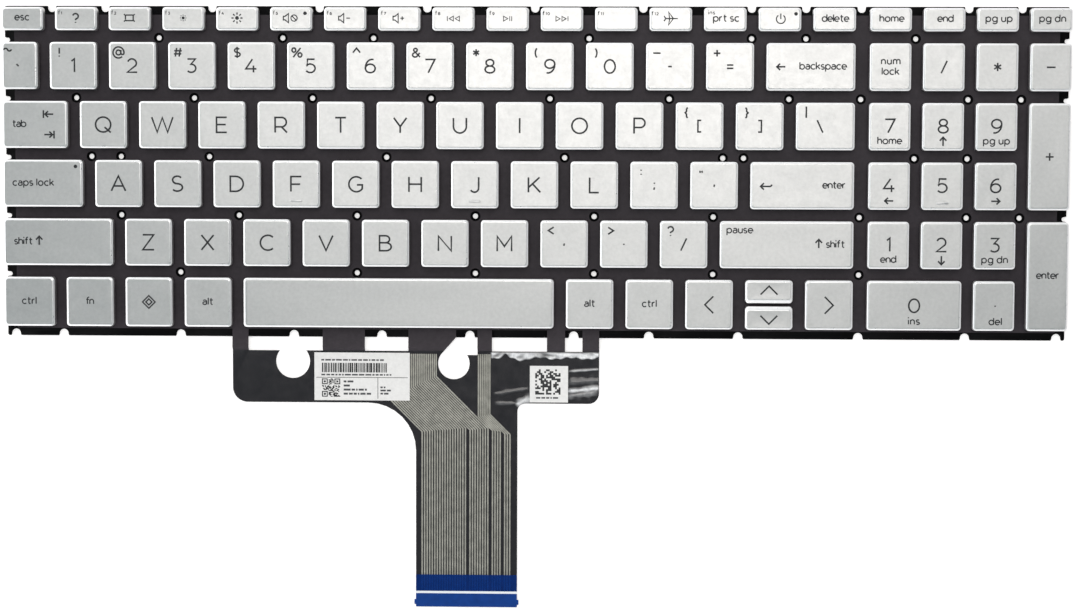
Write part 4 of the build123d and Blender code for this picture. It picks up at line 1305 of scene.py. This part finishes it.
# Print of the wide label, in millimetres from its left front corner. Bar code: bars, left end, length, front
# and rear. Block field: left, front, size, cells and seed. Rules: front and rear, left and right, inset.
CODE_BARS, BAR_CODE, WIDE_BLOCKS = 34, (2.1, 20.9, 8.9, 11.9), (2.4, 1.1, 5.8, 19, 2.0)
LONG_RULE, SHORT_RULE, RULE_INSET = (7.2 * MM, 7.36 * MM), (20.1 * MM, 20.26 * MM), 0.6 * MM
# Its rows of small print: left, right, front, height and seed
WIDE_ROWS = (
    (2.2, 22.5, 12.6, 0.5, 3.0), (2.2, 24.5, 7.9, 0.5, 4.0),
    (9.3, 13.0, 5.7, 0.6, 5.0), (9.3, 13.5, 4.4, 0.6, 6.0),
    (9.3, 17.5, 3.1, 0.6, 7.0), (9.3, 18.5, 1.8, 0.6, 8.0),
    (21.0, 24.0, 3.9, 0.55, 9.0), (21.0, 25.0, 2.9, 0.55, 10.0), (21.0, 24.5, 1.9, 0.55, 11.0),
)
# Print of the square label: its block field, and a row with its left and right inset, front, height and seed
SQUARE_BLOCKS, SQUARE_ROW = (1.7, 2.5, 8.0, 14, 6.0), (2.0, 2.5, 1.2, 0.5, 8.0)


def bar_code(left, front):
    """Upright bars of uneven width and spacing"""
    start, long, near, far = BAR_CODE
    count = 2 * CODE_BARS
    bar, gap = 0.22 + 0.5 * scattered(count, 1.0) ** 2, 0.14 + 0.2 * scattered(count, 1.5)
    steps = np.where(np.arange(count) % 2, bar, gap)
    ends = left + (start + np.cumsum(steps) / steps.sum() * long) * MM
    level = np.full(CODE_BARS, front)
    return np.stack([ends[::2], ends[1::2], level + near * MM, level + far * MM], axis=1)


class KEYBOARD_OT_labels(bpy.types.Operator):
    """Finish the two labels and print plain bars and blocks on them"""

    bl_idname = "keyboard.labels"
    bl_label = "Labels"

    def execute(self, context):
        paper = finish_of(
            "sticker_stock", colours().paper, 900.0, 0.05, (0.45, 0.6), (4000.0, GRAIN / 2, 0.3)
        )
        for name in ("wide_label", "square_label"):
            dressed(name, paper)
        (left, front, _), (right, _, top) = node_box("wide_label")
        x, y, size, cells, seed = WIDE_BLOCKS
        strong = [bar_code(left, front)]
        strong.append(block_pattern(left + x * MM, front + y * MM, size * MM, cells, seed, True))
        strong.append([
            (left + RULE_INSET, right - RULE_INSET, front + LONG_RULE[0], front + LONG_RULE[1]),
            (left + SHORT_RULE[0], left + SHORT_RULE[1], front + RULE_INSET, front + LONG_RULE[0]),
        ])
        faint = [
            word_bars(left + start * MM, left + end * MM, front + y * MM, height * MM, seed)
            for start, end, y, height, seed in WIDE_ROWS
        ]
        (left, front, _), (right, _, _) = node_box("square_label")
        x, y, size, cells, seed = SQUARE_BLOCKS
        strong.append(block_pattern(left + x * MM, front + y * MM, size * MM, cells, seed))
        start, end, y, height, seed = SQUARE_ROW
        faint.append(word_bars(left + start * MM, right - end * MM, front + y * MM, height * MM, seed))
        z = top + sizes().ink_lift
        dark = finish_of("label_print", (0.02, 0.02, 0.022), 2000.0, 0.2, (0.45, 0.6))
        grey = finish_of("label_small_print", (0.07, 0.07, 0.075), 2000.0, 0.2, (0.45, 0.6))
        make_piece("label_blocks", *flat_bars(np.concatenate(strong), z), dark, "base")
        make_piece("label_lines", *flat_bars(np.concatenate(faint), z), grey, "base")
        return {"FINISHED"}


# Domes and links under the keys

# Links: heights of a frame's two bars, reach of the outer and inner frames, the inner frame's inset, the room
# at a key's sides and the least depth of a key with links
LINK_LOW, LINK_HIGH, OUTER_REACH, INNER_REACH = 1.2 * MM, 3.45 * MM, 5.2 * MM, 3.9 * MM
LINK_INSET, LINK_ROOM, LINK_KEY_DEPTH = 1.3 * MM, 1.2 * MM, 10 * MM


def dome_skin(key):
    """Rubber dome turned about Z: a flat foot, a leaning wall and a thick crown"""
    x, y = middle_of(key)
    low, high = DOME_LOW[2], DOME_HIGH[2]
    profile = [
        (2.6, low), (2.6, low + 0.2 * MM), (2.35, low + 0.45 * MM),
        (2.0, high - 0.9 * MM), (1.85, high - 0.25 * MM), (1.65, high),
    ]
    return shell([np.column_stack([circle(x, y, r * MM, 12), np.full(12, z)]) for r, z in profile])


def frame_skin(x, y, reach, half, arm, low, high):
    """Link frame: a square section carried round a rectangle whose rear and front bars lie at two heights"""
    turns = np.array([(1, -1), (1, 1), (-1, 1), (-1, -1)])
    rings = []
    for inset, dz in ((0, -0.35), (0, 0.35), (arm, 0.35), (arm, -0.35), (0, -0.35)):
        plan = turns * (half - inset * MM, reach - inset * 0.8 * MM)
        z = (low + high) / 2 + (high - low) / 2 * turns[:, 1] + dz * MM
        rings.append(np.column_stack([plan + (x, y), z]))
    verts = np.concatenate(rings[:4])
    index = np.arange(20).reshape(5, 4)
    index[4] = index[0]
    after = np.roll(index, -1, axis=1)
    return verts, [np.stack([index[:-1], after[:-1], after[1:], index[1:]], axis=-1).reshape(-1, 4)]


def link_parts(key):
    """Crossed pair of frames under one key, in keys that are deep enough for it"""
    if key.rear - key.front < LINK_KEY_DEPTH or key.name in ("f", "j", "space"):
        return []
    x, y = middle_of(key)
    half = min(OUTER_REACH, (key.right - key.left) / 2 - LINK_ROOM)
    return [
        frame_skin(x, y, OUTER_REACH, half, 1.0, LINK_LOW, LINK_HIGH),
        frame_skin(x, y, INNER_REACH, half - LINK_INSET, 0.9, LINK_HIGH, LINK_LOW),
    ]


class KEYBOARD_OT_springs(bpy.types.Operator):
    """Build a rubber dome under every key and a pair of links under each key deep enough for them, and finish
    the CAD links and the space bar's wire
    """

    bl_idname = "keyboard.springs"
    bl_label = "Domes and links"

    def execute(self, context):
        rubber = finish_of("milky_rubber", colours().rubber, 800.0, 0.08, (0.4, 0.55))
        plastic = finish_of("link_plastic", colours().link, 900.0, 0.06, (0.35, 0.5))
        steel = finish_of("spring_steel", colours().wire, 900.0, 0.1, (0.25, 0.4), Metallic=1.0)
        for name, key in MOVING_KEYS.items():
            for suffix, parts, material, slot in (
                ("_dome", [dome_skin(key)], rubber, "dome_rubber"),
                ("_links", link_parts(key), plastic, "scissor_plastic"),
            ):
                if parts:
                    piece = make_piece(name + suffix, *joined(parts), material, "base", (), slot, SKIN_SMOOTH)
                    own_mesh(piece)
        fixed = [key for keys in FIXED_KEYS.values() for key in keys]
        domes = joined([dome_skin(key) for key in fixed])
        make_piece("other_domes", *domes, rubber, "base", ["rubber_domes"], "dome_rubber", SKIN_SMOOTH)
        links = joined([part for key in fixed for part in link_parts(key)])
        make_piece("other_links", *links, plastic, "base", (), "scissor_plastic", SKIN_SMOOTH)
        for name in ("f_outer_scissor", "f_inner_scissor", "j_outer_scissor", "j_inner_scissor"):
            dressed(name, plastic)
        dressed("space_wire", steel)
        return {"FINISHED"}


# Stage

# Camera, as fitted to the keys in the photograph
CAMERA_LENS, CAMERA_PLACE, CAMERA_TURN = 69.12, (0.02022, 0.03900, 0.65392), (-0.0573, 0.0276, 0.0035)
# Floor: half its side, its height, its colour and its glow
FLOOR_HALF, FLOOR_HEIGHT, FLOOR_COLOUR, FLOOR_GLOW = 3, -0.0002, (0.90, 0.87, 0.86, 1), 0.45
# Light round the studio: the height of a direction, and its level; bright low walls under a dim ceiling
SKY = ((0.0, 0.5), (0.1, 1.0), (0.55, 1.0), (0.72, 0.22), (0.9, 0.19), (1.0, 0.19))
# Its strength in the middle, and how much that changes towards the right
SKY_STRENGTH, SKY_LEAN = 1.45, -0.7
# Soft light: its place, the place it points at, its size, power and tint
SOFTBOX_PLACE, SOFTBOX_AIM = (0.03, 0.34, 1.0), (0.0, 0.04, 0.0)
SOFTBOX_SIZE, SOFTBOX_POWER, SOFTBOX_TINT = 0.68, 3.72, (1.0, 0.955, 0.92)


def set_camera(scene):
    """Camera of the photograph"""
    lens = bpy.data.cameras.new("photo_camera")
    lens.sensor_width = 36.0
    lens.lens = CAMERA_LENS
    lens.clip_start = 0.01
    camera = bpy.data.objects.new("photo_camera", lens)
    camera.location = CAMERA_PLACE
    camera.rotation_euler = CAMERA_TURN
    scene.collection.objects.link(camera)
    scene.camera = camera


def lay_floor(scene):
    """White floor, which glows where it is seen directly, in a reflection or through a clear coat"""
    floor = bpy.data.meshes.new("floor")
    turns = ((-1, -1), (1, -1), (1, 1), (-1, 1))
    floor.from_pydata([(x * FLOOR_HALF, y * FLOOR_HALF, FLOOR_HEIGHT) for x, y in turns], [], [(0, 1, 2, 3)])
    ground = bpy.data.objects.new("floor", floor)
    scene.collection.objects.link(ground)
    material, shader, node, link = new_material("floor_white")
    shader.inputs["Base Color"].default_value = FLOOR_COLOUR
    shader.inputs["Roughness"].default_value = 0.7
    rays = node("ShaderNodeLightPath").outputs
    seen = rays["Is Camera Ray"]
    for name in ("Is Glossy Ray", "Is Transmission Ray"):
        seen = node("ShaderNodeMath", {0: seen, 1: rays[name]}, operation="ADD", use_clamp=True).outputs[0]
    glow = node("ShaderNodeMath", {0: seen, 1: FLOOR_GLOW}, operation="MULTIPLY")
    shader.inputs["Emission Color"].default_value = (1, 1, 1, 1)
    link(glow.outputs[0], shader.inputs["Emission Strength"])
    floor.materials.append(material)


def light_studio(scene):
    """World light: its level depends on the height of a direction, and its strength falls towards the right"""
    world = bpy.data.worlds.new("studio")
    world.use_nodes = True
    nodes, link = world.node_tree.nodes, world.node_tree.links.new
    back, parted = nodes["Background"], nodes.new("ShaderNodeSeparateXYZ")
    link(nodes.new("ShaderNodeTexCoord").outputs["Generated"], parted.inputs["Vector"])
    ramp = nodes.new("ShaderNodeValToRGB")
    elements = ramp.color_ramp.elements
    while len(elements) < len(SKY):
        elements.new(0.5)
    for element, (rise, level) in zip(elements, SKY):
        element.position = rise
        element.color = (level * (0.78 + 0.2 * level), level * 0.98, level * (1.02 - 0.03 * level), 1)
    across = nodes.new("ShaderNodeMath")
    across.operation = "MULTIPLY_ADD"
    across.inputs[1].default_value, across.inputs[2].default_value = SKY_LEAN, SKY_STRENGTH
    link(parted.outputs["X"], across.inputs[0])
    link(across.outputs[0], back.inputs["Strength"])
    link(parted.outputs["Z"], ramp.inputs["Fac"])
    link(ramp.outputs["Color"], back.inputs["Color"])
    scene.world = world


def hang_softbox(scene):
    """Square soft light above and behind the keyboard"""
    light = bpy.data.lights.new("rear_softbox", "AREA")
    light.shape = "SQUARE"
    light.size = SOFTBOX_SIZE
    light.energy = SOFTBOX_POWER
    light.color = SOFTBOX_TINT
    lamp = bpy.data.objects.new("rear_softbox", light)
    lamp.location = SOFTBOX_PLACE
    x, y, z = np.array(SOFTBOX_AIM) - SOFTBOX_PLACE
    lamp.rotation_euler = (math.atan2(math.hypot(x, y), -z), 0, math.atan2(y, x) - math.pi / 2)
    scene.collection.objects.link(lamp)


class KEYBOARD_OT_stage(bpy.types.Operator):
    """Set the camera, the floor and the studio light"""

    bl_idname = "keyboard.stage"
    bl_label = "Stage"

    def execute(self, context):
        scene = context.scene
        scene.view_settings.view_transform = "Standard"
        for step in (set_camera, lay_floor, light_studio, hang_softbox):
            step(scene)
        return {"FINISHED"}


OPERATORS = (
    KEYBOARD_OT_plate, KEYBOARD_OT_film, KEYBOARD_OT_tail, KEYBOARD_OT_labels, KEYBOARD_OT_springs,
    KEYBOARD_OT_keycaps, KEYBOARD_OT_legends, KEYBOARD_OT_stage,
)


class KEYBOARD_PT_pieces(bpy.types.Panel):
    """Sidebar list of the keyboard's pieces"""

    bl_idname = "KEYBOARD_PT_pieces"
    bl_label = "Laptop keyboard"
    bl_space_type = "VIEW_3D"
    bl_region_type = "UI"
    bl_category = "Keyboard"

    def draw(self, context):
        for operator in OPERATORS:
            self.layout.operator(operator.bl_idname)
        for group in (context.scene.keyboard_sizes, context.scene.keyboard_colours):
            for name in group.bl_rna.properties.keys():
                if name not in ("rna_type", "name"):
                    self.layout.prop(group, name)


CLASSES = (KeyboardSizes, KeyboardColours) + OPERATORS + (KEYBOARD_PT_pieces,)


def register():
    """Register the classes and their settings"""
    for item in CLASSES:
        bpy.utils.register_class(item)
    bpy.types.Scene.keyboard_sizes = bpy.props.PointerProperty(type=KeyboardSizes)
    bpy.types.Scene.keyboard_colours = bpy.props.PointerProperty(type=KeyboardColours)


def unregister():
    """Remove the classes and their settings"""
    del bpy.types.Scene.keyboard_colours
    del bpy.types.Scene.keyboard_sizes
    for item in reversed(CLASSES):
        bpy.utils.unregister_class(item)


def main():
    """Build the pieces in order"""
    register()
    bpy.ops.keyboard.plate()
    bpy.ops.keyboard.film()
    bpy.ops.keyboard.tail()
    bpy.ops.keyboard.labels()
    bpy.ops.keyboard.springs()
    bpy.ops.keyboard.keycaps()
    bpy.ops.keyboard.legends()
    bpy.ops.keyboard.stage()
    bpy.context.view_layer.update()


if __name__ == "__main__":
    main()
